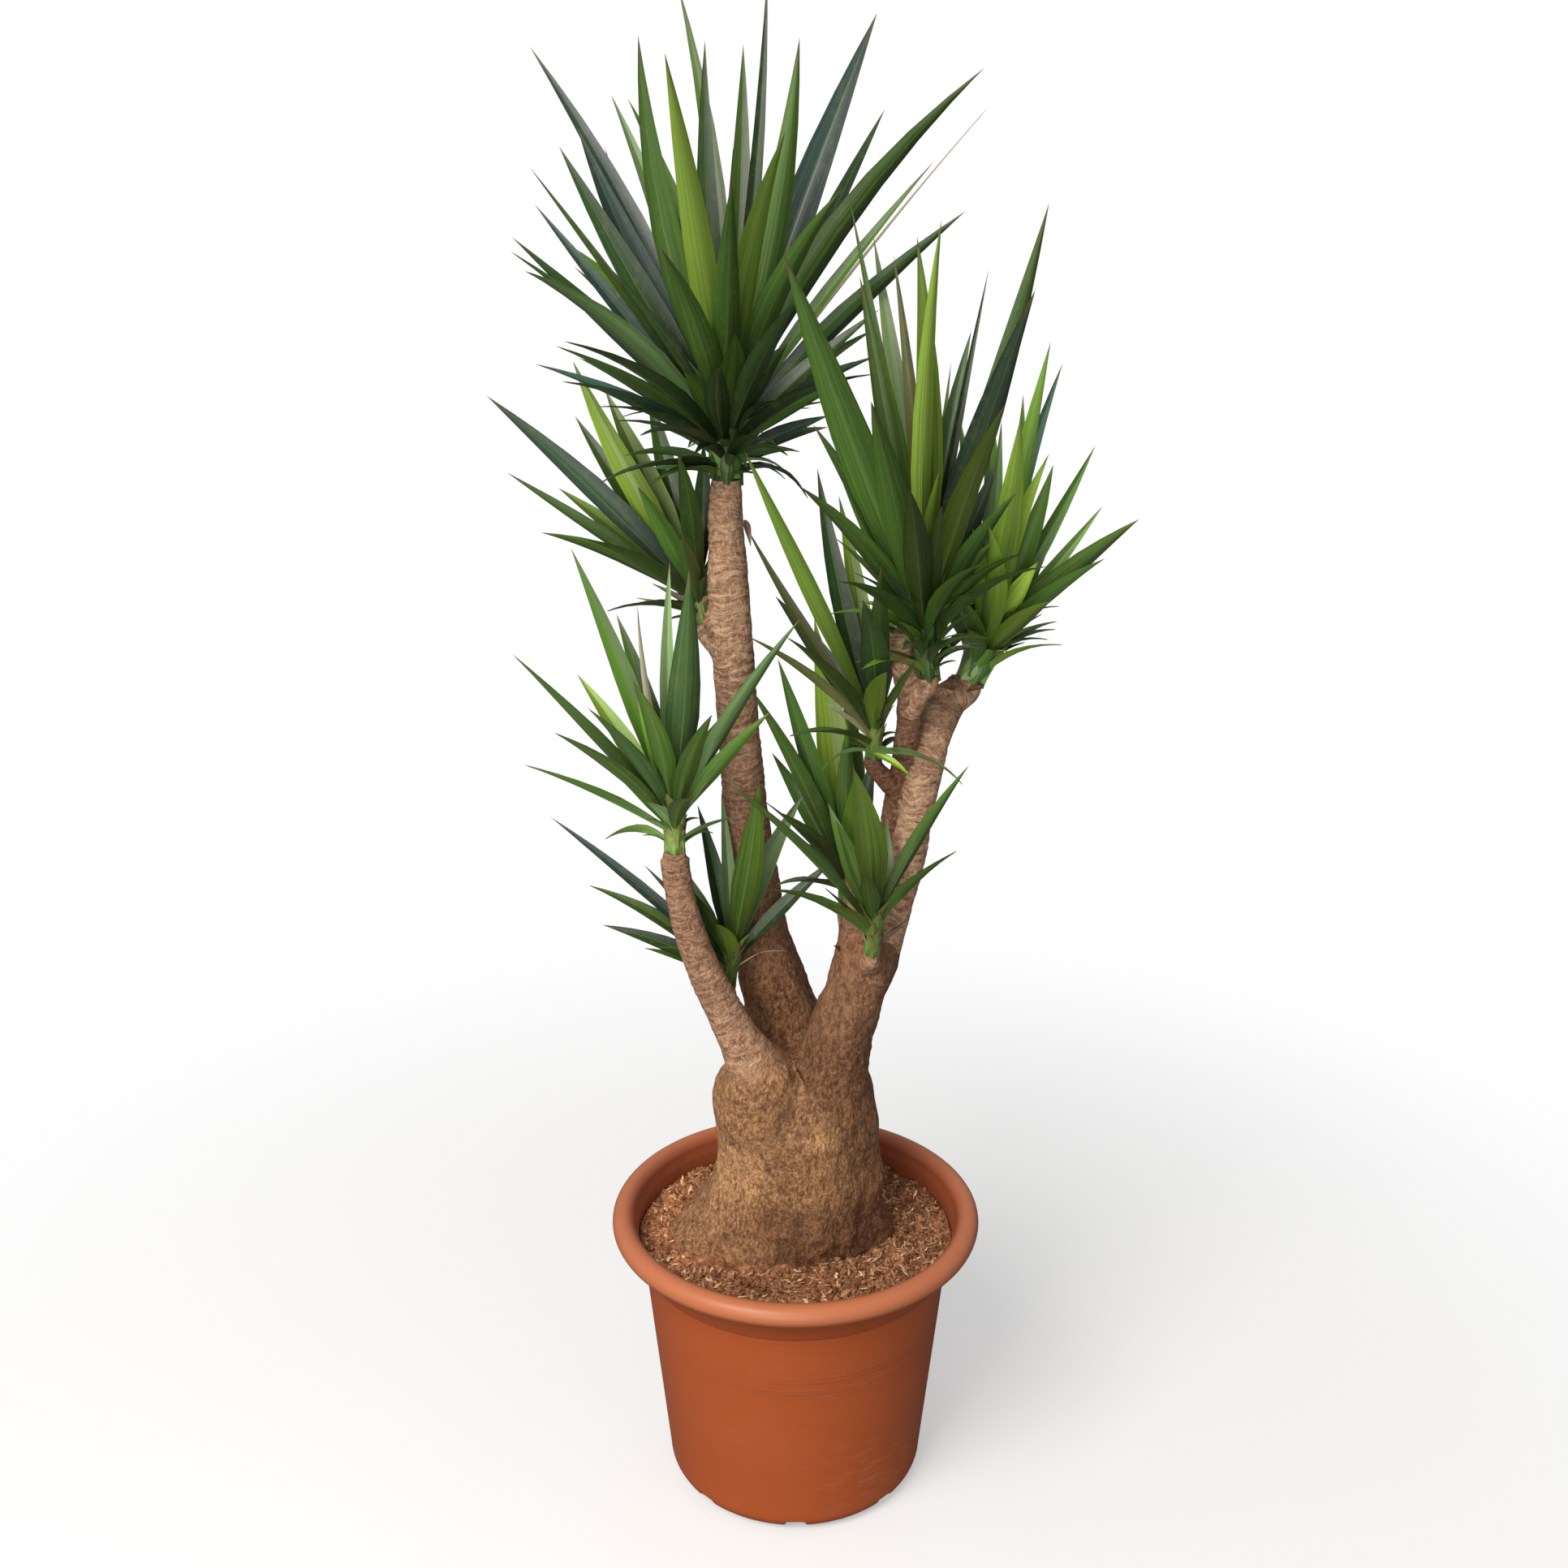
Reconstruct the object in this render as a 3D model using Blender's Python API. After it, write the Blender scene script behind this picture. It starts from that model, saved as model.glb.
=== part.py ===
"""A branched yucca in a moulded terracotta-coloured tub.

The tub stands on the floor at z = 0 with its axis on the z axis. The front of the plant is towards -Y.
The trunk is one grown piece: a swollen foot, three arms and two forks. Each head of leaves is a node of
its own, seated on the cut or sprouting end that carries it.
"""

import math

import bmesh
import bpy
import numpy as np
from mathutils.bvhtree import BVHTree

# Tub
RIM_OUTER_RADIUS = 0.225
RIM_ROLL_RADIUS = 0.0137
RIM_ROLL_HEIGHT = 0.347
WALL_TOP_RADIUS = 0.1920
WALL_FOOT_RADIUS = 0.157
WALL_THICKNESS = 0.0038
COLLAR_RADIUS = 0.1975
COLLAR_LOW = 0.313
COLLAR_TOP = 0.335
INNER_STEP = 0.004
FOOT_CORNER = 0.0223
FLOOR_LOW = 0.005
FLOOR_HIGH = 0.009
FOOT_RING_INNER = 0.112
CENTRE_PAD_RADIUS = 0.045
PAD_SLOPE = 0.004
TUB_SIDES = 36
DRAIN_COUNT = 8
DRAIN_RADIUS = 0.007
DRAIN_CIRCLE = 0.080
NOTCH_WIDTH = 0.034
NOTCH_HEIGHT = 0.0045
NOTCH_DEPTH = 0.0048
NOTCH_SLOPE = math.radians(41)

# Soil
SOIL_EDGE_HEIGHT = 0.3185
SOIL_CROWN_HEIGHT = 0.322
GAP = 0.0004

# Swollen foot of the trunk: height, centre x and y, half width and half depth
FOOT_SIDES = 24
FOOT_RINGS = (
    (0.2050, -0.020, 0.003, 0.1370, 0.092),
    (0.3265, -0.020, 0.003, 0.1370, 0.092),
    (0.3450, -0.016, 0.003, 0.1260, 0.090),
    (0.3700, -0.008, 0.003, 0.1130, 0.088),
    (0.4090, 0.001, 0.003, 0.1065, 0.086),
    (0.4540, 0.002, 0.003, 0.1005, 0.083),
    (0.4900, 0.002, 0.004, 0.1010, 0.081),
    (0.5180, 0.000, 0.006, 0.0970, 0.075),
    (0.5420, -0.001, 0.008, 0.0830, 0.064),
    (0.5600, -0.001, 0.010, 0.0500, 0.040),
)
STEM_SIDES = 12
SPROUT_SIDES = 8

# Stems: x, y, z and radius along each one, from inside the wood to the end that carries leaves
TALL_STEM = (
    (-0.004, 0.026, 0.470, 0.0530),
    (-0.005, 0.045, 0.549, 0.0520),
    (-0.022, 0.050, 0.615, 0.0425),
    (-0.041, 0.053, 0.693, 0.0345),
    (-0.051, 0.054, 0.774, 0.0300),
    (-0.060, 0.055, 0.855, 0.0276),
    (-0.063, 0.055, 0.905, 0.0256),
    (-0.069, 0.055, 0.994, 0.0236),
    (-0.076, 0.055, 1.089, 0.0238),
    (-0.078, 0.055, 1.163, 0.0208),
    (-0.079, 0.055, 1.205, 0.0188),
)
LEFT_ARM = (
    (-0.024, -0.006, 0.470, 0.0560),
    (-0.040, -0.026, 0.530, 0.0530),
    (-0.046, -0.040, 0.558, 0.0440),
    (-0.053, -0.046, 0.580, 0.0335),
    (-0.063, -0.050, 0.604, 0.0262),
    (-0.080, -0.052, 0.642, 0.0216),
    (-0.103, -0.054, 0.693, 0.0196),
    (-0.120, -0.055, 0.744, 0.0174),
    (-0.131, -0.056, 0.794, 0.0163),
    (-0.136, -0.057, 0.836, 0.0163),
)
RIGHT_ARM = (
    (0.034, -0.006, 0.440, 0.0600),
    (0.035, -0.012, 0.520, 0.0530),
    (0.042, -0.016, 0.560, 0.0460),
    (0.049, -0.018, 0.590, 0.0400),
    (0.061, -0.018, 0.632, 0.0365),
    (0.074, -0.017, 0.679, 0.0352),
    (0.083, -0.014, 0.720, 0.0345),
    (0.088, -0.011, 0.742, 0.0280),
)
RIGHT_FORK = (
    (0.080, -0.018, 0.680, 0.0300),
    (0.098, -0.017, 0.731, 0.0268),
    (0.111, -0.014, 0.769, 0.0234),
    (0.125, -0.008, 0.811, 0.0209),
    (0.134, 0.000, 0.855, 0.0196),
    (0.142, 0.008, 0.892, 0.0197),
    (0.150, 0.020, 0.929, 0.0198),
    (0.160, 0.031, 0.966, 0.0196),
    (0.171, 0.040, 0.992, 0.0205),
)
MIDDLE_FORK = (
    (0.088, 0.005, 0.690, 0.0260),
    (0.101, 0.022, 0.732, 0.0195),
    (0.107, 0.030, 0.784, 0.0168),
    (0.112, 0.030, 0.829, 0.0155),
    (0.116, 0.026, 0.875, 0.0147),
    (0.121, 0.020, 0.915, 0.0140),
    (0.124, 0.009, 0.955, 0.0134),
    (0.126, -0.001, 0.984, 0.0130),
    (0.125, -0.010, 1.013, 0.0135),
    (0.117, -0.018, 1.053, 0.0140),
    (0.114, -0.022, 1.091, 0.0136),
)
CUT_STUMP = (
    (0.077, -0.016, 0.700, 0.0230),
    (0.071, -0.014, 0.765, 0.0150),
    (0.071, -0.012, 0.826, 0.0110),
)
RIGHT_STUMP = (
    (0.157, 0.030, 0.962, 0.0185),
    (0.168, 0.039, 0.988, 0.0205),
    (0.173, 0.042, 1.008, 0.0190),
)
KNOB = (
    (-0.074, 0.053, 1.066, 0.0125),
    (-0.094, 0.050, 1.078, 0.0095),
    (-0.102, 0.049, 1.088, 0.0055),
)

# Height of the sloped shoulder between a stem's end and the green core that stands on it
SHOULDER = 0.008

# Short sprouts that lead from a stem to a side head
SIDE_SPROUTS = {
    "head_back_left": ((-0.080, 0.057, 1.045, 0.0130), (-0.096, 0.062, 1.058, 0.0115)),
    "head_low_centre": ((-0.080, -0.046, 0.638, 0.0120), (-0.080, -0.012, 0.646, 0.0102)),
    "head_low_right": ((0.083, -0.040, 0.700, 0.0125), (0.084, -0.059, 0.713, 0.0105)),
    "head_middle": ((0.119, 0.018, 0.888, 0.0115), (0.100, 0.008, 0.911, 0.0108)),
    "head_inner_right": ((0.075, -0.006, 0.715, 0.0170), (0.060, 0.006, 0.740, 0.0115)),
    "head_upper_middle": ((0.125, -0.008, 0.994, 0.0125), (0.136, -0.019, 1.017, 0.0110)),
}

# Leaf shape, as shares of a leaf's length and width
LEAF_STATIONS = (0.0, 0.18, 0.45, 0.76)
SHORT_LEAF_STATIONS = (0.0, 0.30, 0.66)
SHORT_LEAF = 0.12
LEAF_WIDEST_AT = 0.42
LEAF_ROOT_WIDTH = 0.40
LEAF_THICKNESS = 0.0034
LEAF_LEAST_THICKNESS = 0.0013
CLEARANCE = 0.0022
ROLL = 1.1
GOLDEN_ANGLE = math.radians(137.508)

# Turns in degrees that a leaf may take to come clear: out of the front view first, then across it
TURNS = (0, 5, -5, 10, -10, 15, -15, 21, -21, 28, -28, 36, -36)
SIDEWAYS = (0, 3, -3, 6, -6)

# Leaves that show from the front, as (fan, toward, length, width, bow):
# fan is degrees from upright in the front view, positive to the right, and toward is degrees out of it
# to the front; length runs from the heart of the head to the leaf's tip; bow is the rise of the midrib
# over its chord as a share of its length.
SEEN_TOP = (
    (-12, 16, 0.39, 0.034, 0.02), (-8, 26, 0.39, 0.032, 0.03), (-7, -20, 0.47, 0.022, 0.02),
    (-3, -6, 0.375, 0.026, 0.02), (3, -12, 0.38, 0.028, 0.02), (6, -4, 0.44, 0.016, 0.02),
    (12, 2, 0.38, 0.034, 0.02), (22, -16, 0.455, 0.042, 0.03), (30, -34, 0.435, 0.026, 0.04),
    (38, 2, 0.435, 0.034, 0.05), (41, -10, 0.335, 0.016, 0.03), (43, -14, 0.45, 0.009, 0.05),
    (51, 10, 0.325, 0.028, 0.05), (-22, -26, 0.39, 0.026, 0.02), (-20, -34, 0.415, 0.028, 0.02),
    (-30, -22, 0.45, 0.026, 0.02), (-29, -12, 0.335, 0.036, 0.02), (-33, -4, 0.32, 0.032, 0.03),
    (-28, -34, 0.37, 0.014, 0.02), (-40, -6, 0.325, 0.012, 0.03), (-45, -14, 0.305, 0.021, 0.04),
    (-51, 2, 0.285, 0.027, 0.05), (-53, 12, 0.28, 0.025, 0.05), (-51, 38, 0.305, 0.034, 0.10),
    (-38, 14, 0.20, 0.020, 0.04), (-50, -12, 0.24, 0.016, 0.05), (-69, 12, 0.195, 0.025, 0.06),
    (-77, -6, 0.21, 0.020, 0.06), (-76, 22, 0.21, 0.027, 0.07), (-75, -24, 0.19, 0.018, 0.06),
    (-93, 30, 0.135, 0.016, 0.10), (-114, 10, 0.125, 0.015, 0.12), (-83, 45, 0.18, 0.022, 0.09),
    (28, 26, 0.285, 0.032, 0.08), (58, -4, 0.195, 0.022, 0.05), (65, -22, 0.195, 0.021, 0.05),
    (68, 6, 0.175, 0.021, 0.06), (74, -14, 0.17, 0.021, 0.07), (76, 22, 0.145, 0.024, 0.07),
    (96, -10, 0.115, 0.020, 0.08), (102, 8, 0.115, 0.021, 0.10), (118, 24, 0.10, 0.018, 0.12),
    (-37, 62, 0.14, 0.032, 0.08), (9, 58, 0.17, 0.032, 0.08), (42, 44, 0.13, 0.030, 0.08),
    (-131, -20, 0.12, 0.015, 0.12), (-62, -42, 0.25, 0.028, 0.06), (-18, 44, 0.25, 0.030, 0.05),
)
SEEN_UPPER_MIDDLE = (
    (-22, 22, 0.43, 0.044, 0.03), (-11, -10, 0.425, 0.014, 0.02), (-8, -18, 0.40, 0.026, 0.02),
    (-12, 2, 0.35, 0.030, 0.02), (-6, -5, 0.365, 0.017, 0.02), (-3, 6, 0.39, 0.030, 0.02),
    (0, 11, 0.415, 0.022, 0.02), (11, -12, 0.36, 0.010, 0.02), (8, -26, 0.275, 0.011, 0.02),
    (11, -16, 0.305, 0.027, 0.03), (15, 6, 0.43, 0.031, 0.03), (15, 20, 0.37, 0.037, 0.04),
    (-32, -6, 0.225, 0.027, 0.05), (-16, 42, 0.34, 0.037, 0.04), (2, 34, 0.20, 0.020, 0.03),
    (1, 52, 0.225, 0.024, 0.04), (-50, 16, 0.13, 0.012, 0.05), (62, 36, 0.165, 0.025, 0.10),
    (52, 42, 0.16, 0.024, 0.10), (-12, 58, 0.33, 0.030, 0.05), (13, 36, 0.325, 0.032, 0.05),
    (-24, -32, 0.19, 0.026, 0.04), (86, 30, 0.07, 0.010, 0.10), (-70, 30, 0.06, 0.010, 0.08),
    (34, 20, 0.17, 0.028, 0.04), (30, -22, 0.18, 0.026, 0.04), (46, 2, 0.11, 0.024, 0.05),
    (-153, 22, 0.105, 0.016, 0.10),
)
SEEN_RIGHT = (
    (9, 2, 0.33, 0.025, 0.02), (15, -14, 0.315, 0.021, 0.02), (28, -6, 0.24, 0.019, 0.05),
    (11, 24, 0.245, 0.022, 0.03), (16, 10, 0.21, 0.028, 0.04), (39, -5, 0.19, 0.017, 0.06),
    (43, 16, 0.23, 0.031, 0.06), (8, -12, 0.275, 0.024, 0.02), (4, -24, 0.25, 0.024, 0.02),
    (1, 30, 0.305, 0.034, 0.03), (36, -16, 0.115, 0.010, 0.04), (1, -34, 0.31, 0.030, 0.02),
    (-8, -28, 0.255, 0.028, 0.02), (-10, 54, 0.25, 0.028, 0.05), (-17, 30, 0.18, 0.024, 0.04),
    (22, 34, 0.13, 0.026, 0.05), (34, -30, 0.12, 0.024, 0.05), (-34, 36, 0.14, 0.026, 0.05),
    (-44, 14, 0.10, 0.023, 0.05), (-26, -8, 0.17, 0.026, 0.03), (60, 2, 0.055, 0.022, 0.05),
)
SEEN_MIDDLE = (
    (-25, 14, 0.35, 0.030, 0.03), (-14, -20, 0.285, 0.026, 0.02), (-10, -32, 0.265, 0.026, 0.02),
    (-8, 46, 0.25, 0.034, 0.05), (-56, 8, 0.175, 0.019, 0.07), (-35, -8, 0.255, 0.014, 0.02),
    (-75, 2, 0.063, 0.009, 0.05), (-108, 6, 0.045, 0.009, 0.05), (-132, 24, 0.09, 0.010, 0.14),
    (123, 30, 0.13, 0.021, 0.12), (27, 32, 0.105, 0.014, 0.04), (145, 36, 0.055, 0.020, 0.05),
    (3, -14, 0.165, 0.015, 0.02),
)
SEEN_INNER_RIGHT = (
    (-8, -18, 0.295, 0.042, 0.02), (-17, 8, 0.28, 0.026, 0.03), (-25, 14, 0.275, 0.023, 0.03),
    (-45, 2, 0.14, 0.011, 0.04), (-45, 14, 0.083, 0.014, 0.06), (14, -22, 0.14, 0.027, 0.03),
    (-1, -36, 0.245, 0.029, 0.03),
)
SEEN_LOW_RIGHT = (
    (-9, 28, 0.23, 0.037, 0.03), (29, 6, 0.20, 0.021, 0.04), (44, 22, 0.13, 0.025, 0.04),
    (-74, 16, 0.14, 0.027, 0.10), (-47, 4, 0.225, 0.021, 0.03), (-67, 10, 0.062, 0.009, 0.03),
    (113, 4, 0.042, 0.007, 0.03), (-12, 50, 0.13, 0.022, 0.05),
)
SEEN_LOW_CENTRE = (
    (8, 20, 0.255, 0.034, 0.03), (24, -6, 0.205, 0.027, 0.03), (-4, -26, 0.185, 0.017, 0.03),
    (-14, -14, 0.175, 0.023, 0.03), (48, -6, 0.165, 0.019, 0.06), (-56, -12, 0.265, 0.015, 0.03),
    (-71, -16, 0.19, 0.021, 0.06), (-79, -6, 0.155, 0.019, 0.06), (-91, -4, 0.105, 0.012, 0.06),
    (-50, -18, 0.145, 0.011, 0.03), (-16, 45, 0.085, 0.024, 0.08),
)
SEEN_LEFT = (
    (-21, -5, 0.30, 0.024, 0.02), (-9, 0, 0.225, 0.009, 0.02), (-16, 4, 0.137, 0.014, 0.02),
    (-1, -16, 0.265, 0.018, 0.02), (5, 12, 0.28, 0.037, 0.02), (33, 5, 0.255, 0.024, 0.03),
    (44, 8, 0.155, 0.024, 0.04), (-43, 8, 0.245, 0.025, 0.03), (-33, 20, 0.17, 0.026, 0.03),
    (-73, 6, 0.17, 0.020, 0.05), (-71, -16, 0.088, 0.015, 0.06), (-117, 8, 0.088, 0.017, 0.20),
    (99, 10, 0.075, 0.009, 0.06), (-58, 56, 0.06, 0.022, 0.08),
)
SEEN_BACK_LEFT = (
    (-47, 5, 0.305, 0.032, 0.03), (-59, 0, 0.24, 0.019, 0.03), (-28, 2, 0.275, 0.032, 0.02),
    (-27, -18, 0.24, 0.032, 0.03), (-16, -28, 0.235, 0.029, 0.03), (3, -34, 0.17, 0.025, 0.03),
    (-3, -12, 0.11, 0.023, 0.03), (-95, 8, 0.050, 0.009, 0.05), (-106, 12, 0.071, 0.009, 0.05),
    (-26, 30, 0.15, 0.025, 0.05),
)

# Heads of leaves in the order that they are fitted: name, foot and heart of the green core, radius of
# the core at both, leaves that show, number of leaves on the spiral round the rest, longest of those,
# and how far from the crown's axis the lowest of those hangs, in degrees
HEADS = (
    ("head_low_right", (0.085, -0.067, 0.726), (0.088, -0.080, 0.788), 0.0088, 0.0072,
     SEEN_LOW_RIGHT, 16, 0.15, 80),
    ("head_low_centre", (-0.080, -0.002, 0.660), (-0.074, -0.002, 0.703), 0.0090, 0.0072,
     SEEN_LOW_CENTRE, 16, 0.17, 80),
    ("head_left", (-0.136, -0.057, 0.847), (-0.135, -0.058, 0.905), 0.0115, 0.0090,
     SEEN_LEFT, 30, 0.24, 96),
    ("head_middle", (0.087, 0.002, 0.938), (0.088, -0.005, 0.990), 0.0092, 0.0078,
     SEEN_MIDDLE, 24, 0.27, 86),
    ("head_inner_right", (0.060, 0.009, 0.763), (0.060, 0.008, 0.797), 0.0105, 0.0090,
     SEEN_INNER_RIGHT, 24, 0.24, 84),
    ("head_back_left", (-0.106, 0.068, 1.076), (-0.115, 0.078, 1.127), 0.0105, 0.0082,
     SEEN_BACK_LEFT, 32, 0.27, 84),
    ("head_upper_middle", (0.144, -0.026, 1.040), (0.135, -0.036, 1.122), 0.0105, 0.0090,
     SEEN_UPPER_MIDDLE, 52, 0.37, 76),
    ("head_right", (0.198, 0.050, 1.015), (0.220, 0.055, 1.066), 0.0150, 0.0120,
     SEEN_RIGHT, 48, 0.30, 72),
    ("head_top", (-0.078, 0.055, 1.243), (-0.077, 0.053, 1.322), 0.0152, 0.0110,
     SEEN_TOP, 72, 0.41, 108),
)
STEM_OF_HEAD = {"head_top": TALL_STEM, "head_left": LEFT_ARM, "head_right": RIGHT_FORK}
# A leaf of the spiral is left out where it would lie this near the plane of the front view, this far
# out to the side, or this near a leaf that shows
NEAR_PLANE = 0.36
WIDEST_SPREAD = 0.60
NEAR_DEGREES = 12
HIGHEST_TILT = 8


def material(name, colour, roughness):
    """A Principled BSDF with the part's colour and roughness."""
    made = bpy.data.materials.new(name)
    made.use_nodes = True
    shader = made.node_tree.nodes["Principled BSDF"]
    shader.inputs["Base Color"].default_value = (*colour, 1.0)
    shader.inputs["Roughness"].default_value = roughness
    shader.inputs["Metallic"].default_value = 0.0
    return made


def add_object(name, points, faces, finish):
    """A mesh object made from points and faces, shaded smooth with sharp edges kept."""
    mesh = bpy.data.meshes.new(name)
    mesh.from_pydata([tuple(p) for p in points], [], [tuple(int(i) for i in f) for f in faces])
    mesh.materials.append(finish)
    mesh.shade_smooth()
    mesh.set_sharp_from_angle(angle=math.radians(35))
    made = bpy.data.objects.new(name, mesh)
    bpy.context.scene.collection.objects.link(made)
    return made


def combined(target, tools, operation, solver="EXACT"):
    """Joins the tools to the target, or cuts them from it, with one Boolean on their collection."""
    group = bpy.data.collections.new(target.name + "_tools")
    for tool in tools:
        bpy.context.scene.collection.objects.unlink(tool)
        group.objects.link(tool)
    bpy.context.scene.collection.children.link(group)
    boolean = target.modifiers.new("Boolean", "BOOLEAN")
    boolean.operation = operation
    boolean.operand_type = "COLLECTION"
    boolean.collection = group
    boolean.solver = solver
    bpy.context.view_layer.update()
    graph = bpy.context.evaluated_depsgraph_get()
    result = bpy.data.meshes.new_from_object(target.evaluated_get(graph))
    target.modifiers.clear()
    target.data = result
    for tool in tools:
        bpy.data.objects.remove(tool)
    bpy.data.collections.remove(group)
    outer_shell(result)
    return target


def outer_shell(mesh):
    """Keeps the largest closed surface of a fused mesh: fills sealed hollows and drops loose scraps."""
    build = bmesh.new()
    build.from_mesh(mesh)
    unseen, islands = set(build.verts), []
    while unseen:
        start = unseen.pop()
        island, edge_of_island = {start}, [start]
        while edge_of_island:
            for edge in edge_of_island.pop().link_edges:
                for vertex in edge.verts:
                    if vertex in unseen:
                        unseen.remove(vertex)
                        island.add(vertex)
                        edge_of_island.append(vertex)
        islands.append(island)
    largest = max(islands, key=len)
    bmesh.ops.delete(build, geom=[v for v in build.verts if v not in largest], context="VERTS")
    build.to_mesh(mesh)
    build.free()


def loft(rings):
    """Faces for a stack of rings of equal length, closed with a flat face at both ends."""
    count, sides = len(rings), len(rings[0])
    points = [p for ring in rings for p in ring]
    faces = [tuple(reversed(range(sides))), tuple((count - 1) * sides + k for k in range(sides))]
    for i in range(count - 1):
        for k in range(sides):
            a, b = i * sides + k, i * sides + (k + 1) % sides
            faces.append((a, b, b + sides, a + sides))
    return points, faces


def swept(path, sides):
    """A round stem along the path: each ring lies square to the way the path runs there."""
    path = np.array(path, float)
    centres, radii = path[:, :3], path[:, 3]
    tangents = np.gradient(centres, axis=0)
    tangents[-1] = centres[-1] - centres[-2]
    tangents /= np.linalg.norm(tangents, axis=1)[:, None]
    angles = np.linspace(0, 2 * math.pi, sides, endpoint=False)
    side = np.array((1.0, 0.0, 0.0))
    rings = []
    for centre, radius, tangent in zip(centres, radii, tangents):
        side = side - tangent * (side @ tangent)
        side /= np.linalg.norm(side)
        other = np.cross(tangent, side)
        rings.append([centre + radius * (math.cos(a) * side + math.sin(a) * other) for a in angles])
    return loft(rings)


def revolved(profile, sides):
    """A closed ring or disc turned about the z axis from a closed profile of (radius, height)."""
    angles = np.linspace(0, 2 * math.pi, sides, endpoint=False)
    points, faces, first = [], [], []
    for radius, height in profile:
        first.append(len(points))
        if radius == 0:
            points.append((0.0, 0.0, height))
        else:
            points += [(radius * math.cos(a), radius * math.sin(a), height) for a in angles]
    for i in range(len(profile)):
        j = (i + 1) % len(profile)
        low_pole, high_pole = profile[i][0] == 0, profile[j][0] == 0
        if low_pole and high_pole:
            continue
        for k in range(sides):
            n = (k + 1) % sides
            a, b = first[i] + (0 if low_pole else k), first[i] + (0 if low_pole else n)
            c, d = first[j] + (0 if high_pole else n), first[j] + (0 if high_pole else k)
            faces.append((a, c, d) if low_pole else (a, b, d) if high_pole else (a, b, c, d))
    return points, faces


def wall_radius(height):
    """Outer radius of the tub's straight wall at a height."""
    return WALL_FOOT_RADIUS + (WALL_TOP_RADIUS - WALL_FOOT_RADIUS) * height / RIM_ROLL_HEIGHT


def corner(centre_radius, centre_height, radius, start, end, steps):
    """Points of a round corner, from one angle to another in degrees."""
    angles = np.radians(np.linspace(start, end, steps))
    return [(centre_radius + radius * math.cos(a), centre_height + radius * math.sin(a)) for a in angles]


def tub(finish):
    """The tub: a tapered wall with a collar, a rolled rim open below, a foot ring and a centre pad."""
    roll_centre = RIM_OUTER_RADIUS - RIM_ROLL_RADIUS
    foot_centre = wall_radius(FOOT_CORNER) - FOOT_CORNER
    inner_corner = FOOT_CORNER - WALL_THICKNESS
    floor_centre = FLOOR_HIGH + inner_corner
    outer = [(0.0, 0.0), (CENTRE_PAD_RADIUS, 0.0), (CENTRE_PAD_RADIUS + PAD_SLOPE, FLOOR_LOW)]
    outer += [(FOOT_RING_INNER - PAD_SLOPE, FLOOR_LOW), (FOOT_RING_INNER, 0.0)]
    outer += corner(foot_centre, FOOT_CORNER, FOOT_CORNER, -90, 0, 4)
    outer += [(wall_radius(COLLAR_LOW), COLLAR_LOW)]
    outer += [(COLLAR_RADIUS, COLLAR_LOW + 0.002), (COLLAR_RADIUS, COLLAR_TOP)]
    outer += [(roll_centre - RIM_ROLL_RADIUS + WALL_THICKNESS, RIM_ROLL_HEIGHT)]
    outer += corner(roll_centre, RIM_ROLL_HEIGHT, RIM_ROLL_RADIUS - WALL_THICKNESS, 150, -60, 4)
    outer += corner(roll_centre, RIM_ROLL_HEIGHT, RIM_ROLL_RADIUS, -60, 180, 8)
    inner = [(COLLAR_RADIUS - WALL_THICKNESS, COLLAR_TOP)]
    inner += [(COLLAR_RADIUS - WALL_THICKNESS, COLLAR_LOW + INNER_STEP)]
    inner += [(wall_radius(COLLAR_LOW) - WALL_THICKNESS, COLLAR_LOW)]
    inner += corner(foot_centre, floor_centre, inner_corner, 0, -90, 3)
    points, faces = revolved(outer + inner + [(0.0, FLOOR_HIGH)], TUB_SIDES)
    shell = add_object("tub", points, faces, finish)
    cutters = []
    for k in range(DRAIN_COUNT):
        turn = 2 * math.pi * k / DRAIN_COUNT - math.pi / 2
        cutters.append(notch(outward(turn), outward(turn + math.pi / 2), finish))
        cutters.append(drain(DRAIN_CIRCLE * outward(turn + math.pi / DRAIN_COUNT), finish))
    return combined(shell, cutters, "DIFFERENCE")


def outward(turn):
    """The level unit vector at an angle round the z axis."""
    return np.array((math.cos(turn), math.sin(turn), 0.0))


def notch(along, across, finish):
    """A cutter for one drain slot: level under the foot ring, then up through the rounded corner.

    Its sloping roof lies NOTCH_DEPTH inside the corner, so that the slot shows from above.
    """
    centre = wall_radius(FOOT_CORNER) - FOOT_CORNER
    inside = FOOT_CORNER - NOTCH_DEPTH
    rise = (NOTCH_HEIGHT - FOOT_CORNER) * math.cos(NOTCH_SLOPE)
    bend = centre + (rise + inside) / math.sin(NOTCH_SLOPE)
    far = WALL_FOOT_RADIUS + 0.020
    roof = NOTCH_HEIGHT + (far - bend) * math.tan(NOTCH_SLOPE)
    rings = []
    for reach, top in ((FOOT_RING_INNER - 0.012, NOTCH_HEIGHT), (bend, NOTCH_HEIGHT), (far, roof)):
        section = ((-1.2, -0.003), (1.2, -0.003), (0.65, top), (-0.65, top))
        rings.append([along * reach + across * (share * NOTCH_WIDTH / 2) + np.array((0, 0, height))
                      for share, height in section])
    points, faces = loft(rings)
    return add_object("notch_cutter", points, faces, finish)


def drain(centre, finish):
    """A cutter for one round drain hole in the floor."""
    low, high = np.array((0, 0, FLOOR_LOW - 0.004)), np.array((0, 0, FLOOR_HIGH + 0.004))
    angles = np.linspace(0, 2 * math.pi, 10, endpoint=False)
    ring = [centre + DRAIN_RADIUS * outward(a) for a in angles]
    points, faces = loft([[p + low for p in ring], [p + high for p in ring]])
    return add_object("drain_cutter", points, faces, finish)


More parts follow.
